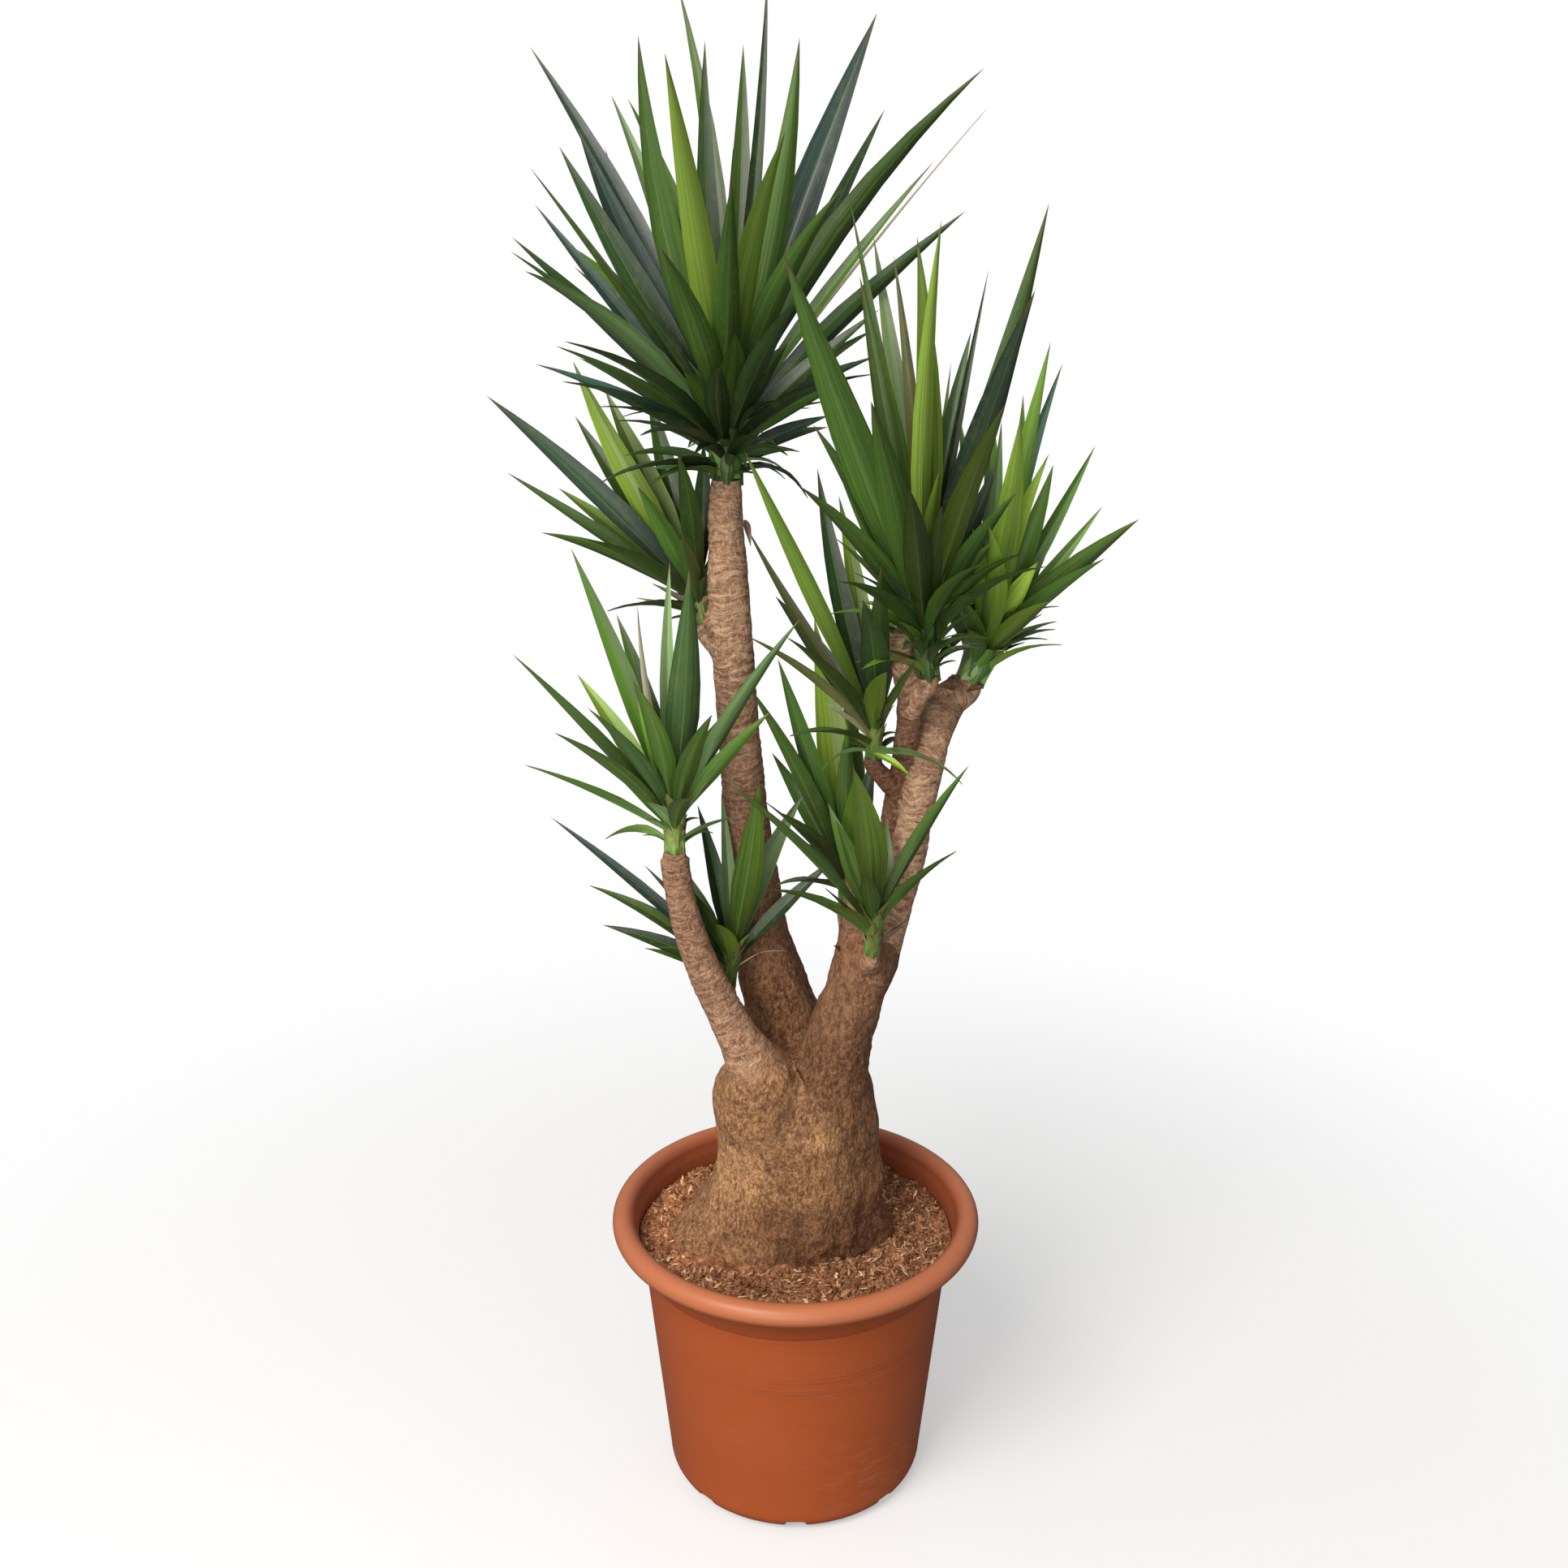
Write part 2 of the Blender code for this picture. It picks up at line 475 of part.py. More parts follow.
def foot_ring(level, extra=0.0):
    """One outline of the swollen foot: an ellipse with five shallow lobes, widened by extra."""
    height, x, y, wide, deep = level
    ring = []
    for a in np.linspace(0, 2 * math.pi, FOOT_SIDES, endpoint=False):
        lobes = 1 + 0.022 * math.cos(5 * a + 0.6) + 0.012 * math.cos(3 * a + 2.0)
        across, along = wide * lobes + extra, deep * lobes + extra
        ring.append((x + across * math.cos(a), y + along * math.sin(a), height))
    return ring


def soil(finish):
    """Potting soil that fills the tub, with a plain hole where the trunk stands."""
    foot_centre = wall_radius(FOOT_CORNER) - FOOT_CORNER
    inner_corner = FOOT_CORNER - WALL_THICKNESS
    profile = [(0.0, FLOOR_HIGH + GAP)]
    profile += corner(foot_centre, FLOOR_HIGH + inner_corner, inner_corner - GAP, -90, 0, 3)
    profile += [(wall_radius(COLLAR_LOW) - WALL_THICKNESS - GAP, COLLAR_LOW + GAP)]
    profile += [(COLLAR_RADIUS - WALL_THICKNESS - GAP, COLLAR_LOW + INNER_STEP + 2 * GAP)]
    profile += [(COLLAR_RADIUS - WALL_THICKNESS - GAP, SOIL_EDGE_HEIGHT)]
    profile += [(0.17, SOIL_EDGE_HEIGHT + 0.0015), (0.10, SOIL_CROWN_HEIGHT), (0.0, SOIL_CROWN_HEIGHT)]
    points, faces = revolved(profile, TUB_SIDES)
    body = add_object("soil", points, faces, finish)
    low_level = (FOOT_RINGS[0][0] - GAP, *FOOT_RINGS[0][1:])
    high_level = (SOIL_CROWN_HEIGHT + 0.02, *FOOT_RINGS[0][1:])
    points, faces = loft([foot_ring(low_level, GAP * 1.5), foot_ring(high_level, GAP * 1.5)])
    return combined(body, [add_object("trunk_hole", points, faces, finish)], "DIFFERENCE")


def seated(stem, head):
    """A stem's path lengthened to end in a shoulder, flat against the foot of its head's core."""
    foot, heart, radius = np.array(head[1]), np.array(head[2]), head[3]
    axis = (heart - foot) / np.linalg.norm(heart - foot)
    before = foot - axis * SHOULDER
    return (*stem, (*before, (radius + stem[-1][3]) / 2), (*foot, radius + 0.0005))


def trunk(finish):
    """The wood in one piece: swollen foot, arms, forks, cut stumps and the sprouts of the side heads."""
    heads = {head[0]: head for head in HEADS}
    points, faces = loft([foot_ring(level) for level in FOOT_RINGS])
    body = add_object("trunk", points, faces, finish)
    paths = [RIGHT_ARM, MIDDLE_FORK, CUT_STUMP, RIGHT_STUMP, KNOB]
    paths += [seated(stem, heads[name]) for name, stem in STEM_OF_HEAD.items()]
    paths += [seated(sprout, heads[name]) for name, sprout in SIDE_SPROUTS.items()]
    stems = []
    for path in paths:
        sides = STEM_SIDES if len(path) > 5 else SPROUT_SIDES
        points, faces = swept(path, sides)
        stems.append(add_object("stem_piece", points, faces, finish))
    return combined(body, stems, "UNION")


def leaf_width(share):
    """Half width at a share of the length, as a share of the widest: it swells, then tapers to the tip."""
    rise = min(share / LEAF_WIDEST_AT, 1.0)
    swell = LEAF_ROOT_WIDTH + (1 - LEAF_ROOT_WIDTH) * rise * rise * (3 - 2 * rise)
    fall = max(share - LEAF_WIDEST_AT, 0.0) / (1 - LEAF_WIDEST_AT)
    return swell * (1 - fall**1.5)


def leaf_solid(root, tip, up, width, bow, extra=0.0):
    """A sword-shaped leaf as points and triangles: flat above, with a low keel along its underside.

    Its midrib is the chord from root to tip raised by bow times a parabola. up is the side that the
    flat face looks to. extra thickens and widens it, to test how close others come.
    """
    root, tip = np.array(root, float), np.array(tip, float)
    chord = tip - root
    length = np.linalg.norm(chord)
    along = chord / length
    up = up - along * (up @ along)
    up /= np.linalg.norm(up)
    side = np.cross(along, up)
    stations = SHORT_LEAF_STATIONS if length < SHORT_LEAF else LEAF_STATIONS
    points = []
    for share in stations:
        centre = root + chord * share + up * (4 * bow * length * share * (1 - share))
        slope = along + up * (4 * bow * (1 - 2 * share))
        normal = np.cross(side, slope / np.linalg.norm(slope))
        half = leaf_width(share) * width / 2 + extra
        thick = max(LEAF_THICKNESS * (1 - share) * min(1.0, width / 0.02), LEAF_LEAST_THICKNESS) + 2 * extra
        points += [centre - side * half + normal * thick / 3, centre + side * half + normal * thick / 3]
        points.append(centre - normal * thick * 2 / 3)
    points.append(tip + along * extra)
    faces = [(0, 2, 1)]
    for i in range(len(stations) - 1):
        for k in range(3):
            a, b = 3 * i + k, 3 * i + (k + 1) % 3
            faces += [(a, b, a + 3), (b, b + 3, a + 3)]
    last, point = 3 * (len(stations) - 1), len(points) - 1
    faces += [(last + k, last + (k + 1) % 3, point) for k in range(3)]
    return np.array(points), faces


def free_part(faces):
    """The triangles of a leaf beyond its crowded root, which is its first stretch."""
    return [f for f in faces if min(f) >= 3]


def direction(fan, toward):
    """Unit vector of a leaf from its fan angle and its angle towards the front, in degrees."""
    f, t = math.radians(fan), math.radians(toward)
    return np.array((math.sin(f) * math.cos(t), -math.sin(t), math.cos(f) * math.cos(t)))


def angles_of(vector):
    """The fan and toward angles of a vector."""
    return math.degrees(math.atan2(vector[0], vector[2])), math.degrees(math.asin(-vector[1]))


def spiral_leaves(seen, count, longest, lowest):
    """Leaves on a golden-angle spiral round the head, lowest first, left out where seen ones are near."""
    taken = [direction(fan, toward) for fan, toward, *_ in seen]
    axis = sum(way * leaf[2] for way, leaf in zip(taken, seen))
    axis[1] = 0.0
    axis /= np.linalg.norm(axis)
    side = np.cross(axis, (0.0, 1.0, 0.0))
    other = np.cross(axis, side)
    made = []
    for k in range(count):
        share = k / (count - 1)
        tilt = lowest + (HIGHEST_TILT - lowest) * share**0.85
        turn = k * GOLDEN_ANGLE
        across = side * math.cos(turn) + other * math.sin(turn)
        vector = axis * math.cos(math.radians(tilt)) + across * math.sin(math.radians(tilt))
        near = any(vector @ t > math.cos(math.radians(NEAR_DEGREES)) for t in taken)
        if near or abs(vector[1]) < NEAR_PLANE or abs(vector @ side) > WIDEST_SPREAD:
            continue
        length = longest * (1 - 0.52 * (tilt / lowest) ** 1.4) * (0.94 + 0.06 * math.cos(5 * turn))
        made.append((*angles_of(vector), length, 0.018 + 0.036 * length, 0.02 + 0.06 * tilt / lowest))
    return made


def turned(leaf, turn, sideways):
    """The leaf's unit direction after it leans further to the front and across the front view."""
    return direction(leaf[0] + sideways, max(-88.0, min(88.0, leaf[1] + turn)))


def leaf_root(foot, heart, axis, vector, low_radius, high_radius):
    """Where a leaf leaves the core: near the heart when it stands along the axis, low when it hangs."""
    tilt = math.degrees(math.acos(max(-1.0, min(1.0, float(vector @ axis)))))
    height = max(0.16, min(1.0, 1.0 - tilt / 125))
    outward = vector - axis * (vector @ axis)
    size = np.linalg.norm(outward)
    outward = outward / size if size > 1e-6 else np.array((1.0, 0.0, 0.0))
    radius = low_radius + (high_radius - low_radius) * height
    return foot + (heart - foot) * height + outward * (0.35 * radius * min(1.0, size * 3))


def upper_side(axis, vector, leans_forward):
    """The way a leaf's flat face looks: towards the head's axis, rolled to show its width from the front."""
    roll = ROLL * (1 - abs(vector[1])) * (1.0 if leans_forward else -1.0)
    up = axis + np.array((0.0, roll, 0.0))
    up = up - vector * (up @ vector)
    return up / np.linalg.norm(up)


def fitted_leaves(head, fixed):
    """The head's leaves, each turned a little until it clears the fixed solids and its own neighbours."""
    foot, heart, low_radius, high_radius, seen, *spiral = head[1:]
    foot, heart = np.array(foot), np.array(heart)
    axis = (heart - foot) / np.linalg.norm(heart - foot)
    changes = sorted(((t, s) for t in TURNS for s in SIDEWAYS), key=turn_cost)
    placed, free = [], []
    for leaf in (*seen, *spiral_leaves(seen, *spiral)):
        crowded = None
        for turn, sideways in changes:
            vector = turned(leaf, turn, sideways)
            root = leaf_root(foot, heart, axis, vector, low_radius, high_radius)
            tip = heart + vector * leaf[2]
            up = upper_side(axis, vector, leaf[1] >= 0)
            points, faces = leaf_solid(root, tip, up, leaf[3], leaf[4], CLEARANCE)
            whole = tree(points, faces)
            if any(whole.overlap(other) for other in fixed):
                continue
            if crowded is None:
                crowded = (root, tip, up, leaf[3], leaf[4])
            outer = tree(points, free_part(faces))
            if not any(outer.overlap(other) for other in free):
                crowded = (root, tip, up, leaf[3], leaf[4])
                break
        if crowded is None:
            continue
        points, faces = leaf_solid(*crowded)
        placed.append((points, faces))
        free.append(tree(points, free_part(faces)))
    return placed


def turn_cost(change):
    """Orders the turns: the smallest first, and a turn out of the front view before one across it."""
    return abs(change[0]) + 4 * abs(change[1])


def tree(points, faces):
    """A search tree of triangles for overlap tests."""
    return BVHTree.FromPolygons([tuple(p) for p in points], [tuple(f) for f in faces])


def core(head):
    """The green core that the leaves clasp, as points and faces: a tapered stem with a domed end."""
    foot, heart, low_radius, high_radius = head[1:5]
    foot, heart = np.array(foot), np.array(heart)
    length = np.linalg.norm(heart - foot)
    axis = (heart - foot) / length
    path = [(*(foot + axis * GAP), low_radius)]
    path += [(*(foot + axis * length * 0.5), (low_radius + high_radius) / 2)]
    path += [(*heart, high_radius), (*(heart + axis * high_radius * 0.7), high_radius * 0.5)]
    return swept(path, SPROUT_SIDES)


def heads(trunk_object, finish):
    """All the heads of leaves, each fused to its core and kept clear of the trunk and of each other."""
    mesh = trunk_object.data
    mesh.calc_loop_triangles()
    corners = [tuple(v.co) for v in mesh.vertices]
    fixed = [tree(corners, [tuple(t.vertices) for t in mesh.loop_triangles])]
    cores = {head[0]: core(head) for head in HEADS}
    for head in HEADS:
        others = [tree(*shape) for name, shape in cores.items() if name != head[0]]
        placed = fitted_leaves(head, fixed + others)
        blades = [add_object("blade", points, faces, finish) for points, faces in placed]
        body = combined(add_object(head[0], *cores[head[0]], finish), blades, "UNION", "MANIFOLD")
        fixed += [tree(points, faces) for points, faces in placed]
        body.data.materials.clear()
        body.data.materials.append(finish)


def main():
    for old in list(bpy.data.objects):
        bpy.data.objects.remove(old)
    tub(material("terracotta plastic", (0.46, 0.13, 0.05), 0.45))
    soil(material("potting soil", (0.16, 0.08, 0.045), 0.95))
    wood = trunk(material("bark", (0.30, 0.19, 0.11), 0.85))
    heads(wood, material("leaf", (0.05, 0.15, 0.04), 0.40))


main()
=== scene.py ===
"""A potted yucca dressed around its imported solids, laid out as a Blender add-on and run as a script.

Each operator makes one piece, or one group of like pieces, as a surface worked out with numpy, in metres
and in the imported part's own frame: the tub stands on z = 0, +Z is up and the front is towards -Y.
"""

import math

import bpy
import numpy as np
from bpy.props import FloatProperty, FloatVectorProperty, IntProperty, PointerProperty
from mathutils import Matrix


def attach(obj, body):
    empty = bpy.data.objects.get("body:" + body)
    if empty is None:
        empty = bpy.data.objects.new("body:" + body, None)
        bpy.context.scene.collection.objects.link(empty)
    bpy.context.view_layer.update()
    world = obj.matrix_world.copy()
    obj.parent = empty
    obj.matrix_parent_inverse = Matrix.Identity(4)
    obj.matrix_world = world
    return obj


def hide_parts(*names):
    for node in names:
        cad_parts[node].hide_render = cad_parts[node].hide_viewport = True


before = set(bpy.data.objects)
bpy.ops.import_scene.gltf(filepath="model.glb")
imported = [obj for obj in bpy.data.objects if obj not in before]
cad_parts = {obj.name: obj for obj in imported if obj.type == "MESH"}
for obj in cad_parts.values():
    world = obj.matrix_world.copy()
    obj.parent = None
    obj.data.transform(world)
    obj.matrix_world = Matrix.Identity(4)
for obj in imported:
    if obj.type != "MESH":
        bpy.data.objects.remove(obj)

bl_info = {
    "name": "Potted Yucca",
    "version": (1, 0, 0),
    "blender": (4, 5, 0),
    "location": "View3D > Sidebar > Yucca",
    "description": "Makes a branched yucca in a rolled-rim tub around its packed solids",
    "category": "Add Mesh",
}

GOLDEN_ANGLE = math.radians(137.508)
# Slope of the sloping part of a drain slot's roof
SLOT_SLOPE = math.radians(41)
# How many points of the tub's section lie on its base and its rounded foot
FOOT_ROWS = 26
# Heights of the rings of points between the tub's foot and its bead
WALL_HEIGHTS = (0.060, 0.150, 0.186, 0.200, 0.215, 0.230, 0.244, 0.270, 0.290, 0.2945)
# How many random heights the noise has, and the large primes that pick one for a lattice corner
NOISE_HEIGHTS = 4096
NOISE_PRIMES = (73856093, 19349663, 83492791)


# Sizes and colours that a user would change

def length(name, description, default, low=0.0, high=3.0):
    """A size in metres."""
    return FloatProperty(name=name, description=description, default=default, min=low, max=high,
                         unit="LENGTH", precision=4)


def share(name, description, default, low=0.0, high=1.0):
    """A plain number."""
    return FloatProperty(name=name, description=description, default=default, min=low, max=high)


def colour(name, description, default):
    """A linear colour."""
    return FloatVectorProperty(name=name, description=description, default=default, size=3,
                               min=0.0, max=1.0, subtype="COLOR")


class YuccaTubSettings(bpy.types.PropertyGroup):
    """The moulded tub."""
    rim_radius: length("Rim radius", "Outer radius of the rolled rim", 0.225)
    roll_radius: length("Roll radius", "Radius of the rim's round section", 0.0137)
    roll_height: length("Roll height", "Height of the middle of the rolled rim", 0.347)
    wall_top: length("Wall at rim", "Outer radius of the wall, carried up to the rim's height", 0.1920)
    wall_foot: length("Wall at foot", "Outer radius of the wall, carried down to the floor", 0.157)
    wall: length("Wall thickness", "Thickness of the moulded wall", 0.0038)
    collar: length("Collar radius", "Outer radius of the band under the rim", 0.1975)
    collar_low: length("Collar foot", "Height of the lower edge of the band", 0.313)
    bead: length("Bead", "How far the shallow bead below the collar stands proud of the wall", 0.0036)
    bead_low: length("Bead foot", "Height of the lower edge of the shallow bead", 0.2985)
    corner: length("Foot corner", "Radius of the rounded foot", 0.0223)
    slot_height: length("Slot height", "Height of a drain slot under the foot ring", 0.0045)
    slot_depth: length("Slot depth", "How deep a slot's sloping roof lies in the rounded corner", 0.0034)
    clay: colour("Tub colour", "Colour of the moulded plastic", (0.422, 0.085, 0.0195))
    clay_worn: colour("Dusty colour", "Colour where dust and light catch it", (0.460, 0.102, 0.030))
    # Dust and painted sheen: the colour of the upper part of the rim
    rim_dust_and_sheen: colour("Rim colour", "Colour of the weathered rim", (0.520, 0.172, 0.077))


class YuccaSoilSettings(bpy.types.PropertyGroup):
    """The potting mix."""
    edge: length("Edge height", "Height of the mix at the tub's wall", 0.3185)
    crown: length("Crown height", "Height of the mix at the trunk", 0.322)
    crumb: length("Crumb height", "Height of the crumbs on the surface", 0.0050)
    heap: length("Heap", "How high the mix is heaped against the trunk", 0.0085)
    crumbs: IntProperty(name="Crumbs", description="How many loose crumbs of mix lie on top",
                        default=3600, min=0, max=9000)
    crumb_size: length("Crumb size", "Radius of the largest crumb", 0.0058)
    chips: IntProperty(name="Chips", description="How many loose flakes of bark and coir lie on top",
                       default=2600, min=0, max=6000)
    chip_length: length("Chip length", "Length of the longest flake", 0.016)
    peat: colour("Peat colour", "Colour of the damp mix", (0.170, 0.062, 0.028))
    coir: colour("Coir colour", "Colour of the dry crumbs", (0.440, 0.200, 0.098))
    straw: colour("Straw colour", "Colour of the palest flakes", (0.860, 0.580, 0.330))


class YuccaTrunkSettings(bpy.types.PropertyGroup):
    """The wood."""
    band: length("Scar spacing", "Height of one ring of leaf scars on a stem", 0.0108)
    lip: length("Scar lip", "How far a ring of scars stands proud", 0.0011)
    crag: length("Bark relief", "Depth of the folds and lumps on the swollen foot", 0.0040)
    bark: colour("Bark colour", "Colour of the stems' bark", (0.490, 0.238, 0.122))
    old_bark: colour("Old bark colour", "Colour of the darker patches of bark", (0.300, 0.135, 0.072))
    crest: colour("Crest colour", "Colour of the swollen rings between leaf scars", (0.640, 0.385, 0.225))
    # Painted shade: this colour darkens creases, deep folds and joints between stems
    crease_shade: colour("Groove colour", "Colour in grooves and between rings", (0.080, 0.032, 0.018))
    straw: colour("Worn colour", "Colour of worn flecks on the swollen foot", (0.690, 0.385, 0.175))
    cut: colour("Cut wood", "Colour of the cut ends", (0.660, 0.380, 0.190))


class YuccaLeafSettings(bpy.types.PropertyGroup):
    """The heads of leaves."""
    gutter: share("Gutter", "How steeply a blade folds up from its midrib, as a slope", 0.42)
    twist: FloatProperty(name="Twist", description="Largest turn of a blade about its midrib",
                         default=math.radians(14), min=0.0, max=1.0, subtype="ANGLE")
    sheaths: IntProperty(name="Sheaths", description="How many leaf bases clasp each core",
                         default=34, min=0, max=80)
    deep: colour("Deep green", "Shaded old leaves", (0.031, 0.073, 0.018))
    blue: colour("Blue green", "Leaves with a waxy bloom", (0.036, 0.078, 0.054))
    green: colour("Green", "Ordinary leaves", (0.056, 0.120, 0.014))
    fresh: colour("Fresh green", "Young leaves", (0.115, 0.208, 0.016))
    sunlit: colour("Sunlit green", "Leaves that the sun shines through", (0.225, 0.350, 0.036))
    pale: colour("Pale green", "Undersides and bleached leaves", (0.155, 0.258, 0.090))
    olive: colour("Olive", "Ageing leaves", (0.110, 0.105, 0.030))
    dry: colour("Dry", "Dead leaves and tips", (0.330, 0.285, 0.200))
    withered: colour("Withered", "Dark dead stubs and scales", (0.075, 0.040, 0.024))
    sheath: colour("Leaf base", "Where a leaf clasps its stem", (0.130, 0.215, 0.046))


class YuccaStageSettings(bpy.types.PropertyGroup):
    """Floor, light and camera."""
    floor_tone: colour("Floor", "Colour of the floor and backdrop", (0.62, 0.62, 0.62))
    floor_glow: share("Floor glow", "Even light of the floor itself, to the camera only", 0.36)
    sky: share("Sky light", "Strength of the even white light from all round", 0.40, 0.0, 5.0)
    key: share("Key light", "Power of the soft light from the upper left", 142.0, 0.0, 2000.0)
    fill: share("Fill light", "Power of the wide low light from the front", 46.0, 0.0, 2000.0)
    bounce: share("Floor bounce", "Share of light that the floor throws back at the plant", 0.15)
    camera_x: length("Camera x", "Camera's place to the right", -0.0141, -10, 10)
    camera_y: length("Camera y", "Camera's place towards the back", -1.92, -10, 10)
    camera_z: length("Camera z", "Camera's height", 1.557, -10, 10)
    look_down: FloatProperty(name="Look down", description="Angle of the view below level",
                             default=math.radians(18.72), min=0.0, max=1.5, subtype="ANGLE")
    lens: FloatProperty(name="Lens", description="Focal length on a 36 mm sensor", default=40.99,
                        min=10.0, max=200.0, unit="CAMERA")


# The plant's growth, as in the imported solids

# Height at which the mix meets the swollen foot
MIX_LEVEL = 0.3265
# The swollen foot: height, its middle's x and y, half width and half depth
FOOT_RINGS = (
    (0.2050, -0.020, 0.003, 0.1370, 0.092),
    (0.3265, -0.020, 0.003, 0.1370, 0.092),
    (0.3450, -0.016, 0.003, 0.1260, 0.090),
    (0.3700, -0.008, 0.003, 0.1115, 0.088),
    (0.4090, 0.001, 0.003, 0.1035, 0.086),
    (0.4540, 0.002, 0.003, 0.0960, 0.082),
    (0.4900, 0.002, 0.004, 0.0955, 0.080),
    (0.5180, 0.000, 0.006, 0.0930, 0.074),
    (0.5420, -0.001, 0.008, 0.0815, 0.064),
    (0.5600, -0.001, 0.010, 0.0500, 0.040),
)
# Stems and stumps: x, y, z and radius at points along each, from its buried start to its end
TALL_STEM = (
    (-0.004, 0.026, 0.470, 0.0530), (-0.005, 0.045, 0.549, 0.0520), (-0.022, 0.050, 0.615, 0.0425),
    (-0.041, 0.053, 0.693, 0.0345), (-0.051, 0.054, 0.774, 0.0300), (-0.060, 0.055, 0.855, 0.0276),
    (-0.063, 0.055, 0.905, 0.0256), (-0.069, 0.055, 0.994, 0.0236), (-0.076, 0.055, 1.089, 0.0238),
    (-0.078, 0.055, 1.163, 0.0208), (-0.079, 0.055, 1.205, 0.0188),
)
LEFT_ARM = (
    (-0.024, -0.006, 0.470, 0.0560), (-0.040, -0.026, 0.530, 0.0530), (-0.046, -0.040, 0.558, 0.0440),
    (-0.053, -0.046, 0.580, 0.0335), (-0.063, -0.050, 0.604, 0.0262), (-0.080, -0.052, 0.642, 0.0216),
    (-0.103, -0.054, 0.693, 0.0196), (-0.120, -0.055, 0.744, 0.0174), (-0.131, -0.056, 0.794, 0.0163),
    (-0.136, -0.057, 0.836, 0.0163),
)
RIGHT_ARM = (
    (0.034, -0.006, 0.440, 0.0600), (0.035, -0.012, 0.520, 0.0530), (0.042, -0.016, 0.560, 0.0460),
    (0.049, -0.018, 0.590, 0.0400), (0.061, -0.018, 0.632, 0.0365), (0.074, -0.017, 0.679, 0.0352),
    (0.083, -0.014, 0.720, 0.0345), (0.088, -0.011, 0.742, 0.0280),
)
RIGHT_FORK = (
    (0.080, -0.018, 0.680, 0.0300), (0.098, -0.017, 0.731, 0.0268), (0.111, -0.014, 0.769, 0.0234),
    (0.125, -0.008, 0.811, 0.0209), (0.134, 0.000, 0.855, 0.0196), (0.142, 0.008, 0.892, 0.0197),
    (0.150, 0.020, 0.929, 0.0198), (0.160, 0.031, 0.966, 0.0196), (0.171, 0.040, 0.992, 0.0205),
)
MIDDLE_FORK = (
    (0.088, 0.005, 0.690, 0.0260), (0.101, 0.022, 0.732, 0.0195), (0.107, 0.030, 0.784, 0.0168),
    (0.112, 0.030, 0.829, 0.0155), (0.116, 0.026, 0.875, 0.0147), (0.121, 0.020, 0.915, 0.0140),
    (0.124, 0.009, 0.955, 0.0134), (0.126, -0.001, 0.984, 0.0130), (0.125, -0.010, 1.013, 0.0135),
    (0.117, -0.018, 1.053, 0.0140), (0.114, -0.022, 1.091, 0.0136),
)
CUT_STUMP = (
    (0.077, -0.016, 0.700, 0.0230), (0.071, -0.014, 0.765, 0.0150), (0.071, -0.012, 0.826, 0.0110),
)
RIGHT_STUMP = (
    (0.157, 0.030, 0.962, 0.0185), (0.168, 0.039, 0.988, 0.0205), (0.173, 0.042, 1.008, 0.0190),
)
KNOB = (
    (-0.074, 0.053, 1.066, 0.0125), (-0.094, 0.050, 1.078, 0.0095), (-0.102, 0.049, 1.088, 0.0055),
)
# Marks on the foot's front: x, z, half width, half height, what they are and how strong
FOOT_MARKS = (
    (0.0295, 0.4881, 0.0120, 0.0070, "pale", 1.60), (0.0080, 0.5350, 0.0260, 0.0300, "pale", 0.30),
    (-0.0342, 0.3840, 0.0200, 0.0180, "aged_and_shaded", 0.60), (0.0700, 0.4150, 0.0200, 0.0500, "aged_and_shaded", 0.30),
    (-0.0100, 0.4300, 0.0240, 0.0120, "aged_and_shaded", 0.25),
)
# How far below its head's core a stem's shoulder starts
SHOULDER = 0.008
# Short stems that carry the side heads
SIDE_SPROUTS = {
    "head_back_left": ((-0.080, 0.057, 1.045, 0.0130), (-0.096, 0.062, 1.058, 0.0115)),
    "head_low_centre": ((-0.080, -0.046, 0.638, 0.0120), (-0.080, -0.012, 0.646, 0.0102)),
    "head_low_right": ((0.083, -0.040, 0.700, 0.0125), (0.084, -0.059, 0.713, 0.0105)),
    "head_middle": ((0.119, 0.018, 0.888, 0.0115), (0.100, 0.008, 0.911, 0.0108)),
    "head_inner_right": ((0.075, -0.006, 0.715, 0.0170), (0.060, 0.006, 0.740, 0.0115)),
    "head_upper_middle": ((0.125, -0.008, 0.994, 0.0125), (0.136, -0.019, 1.017, 0.0110)),
}

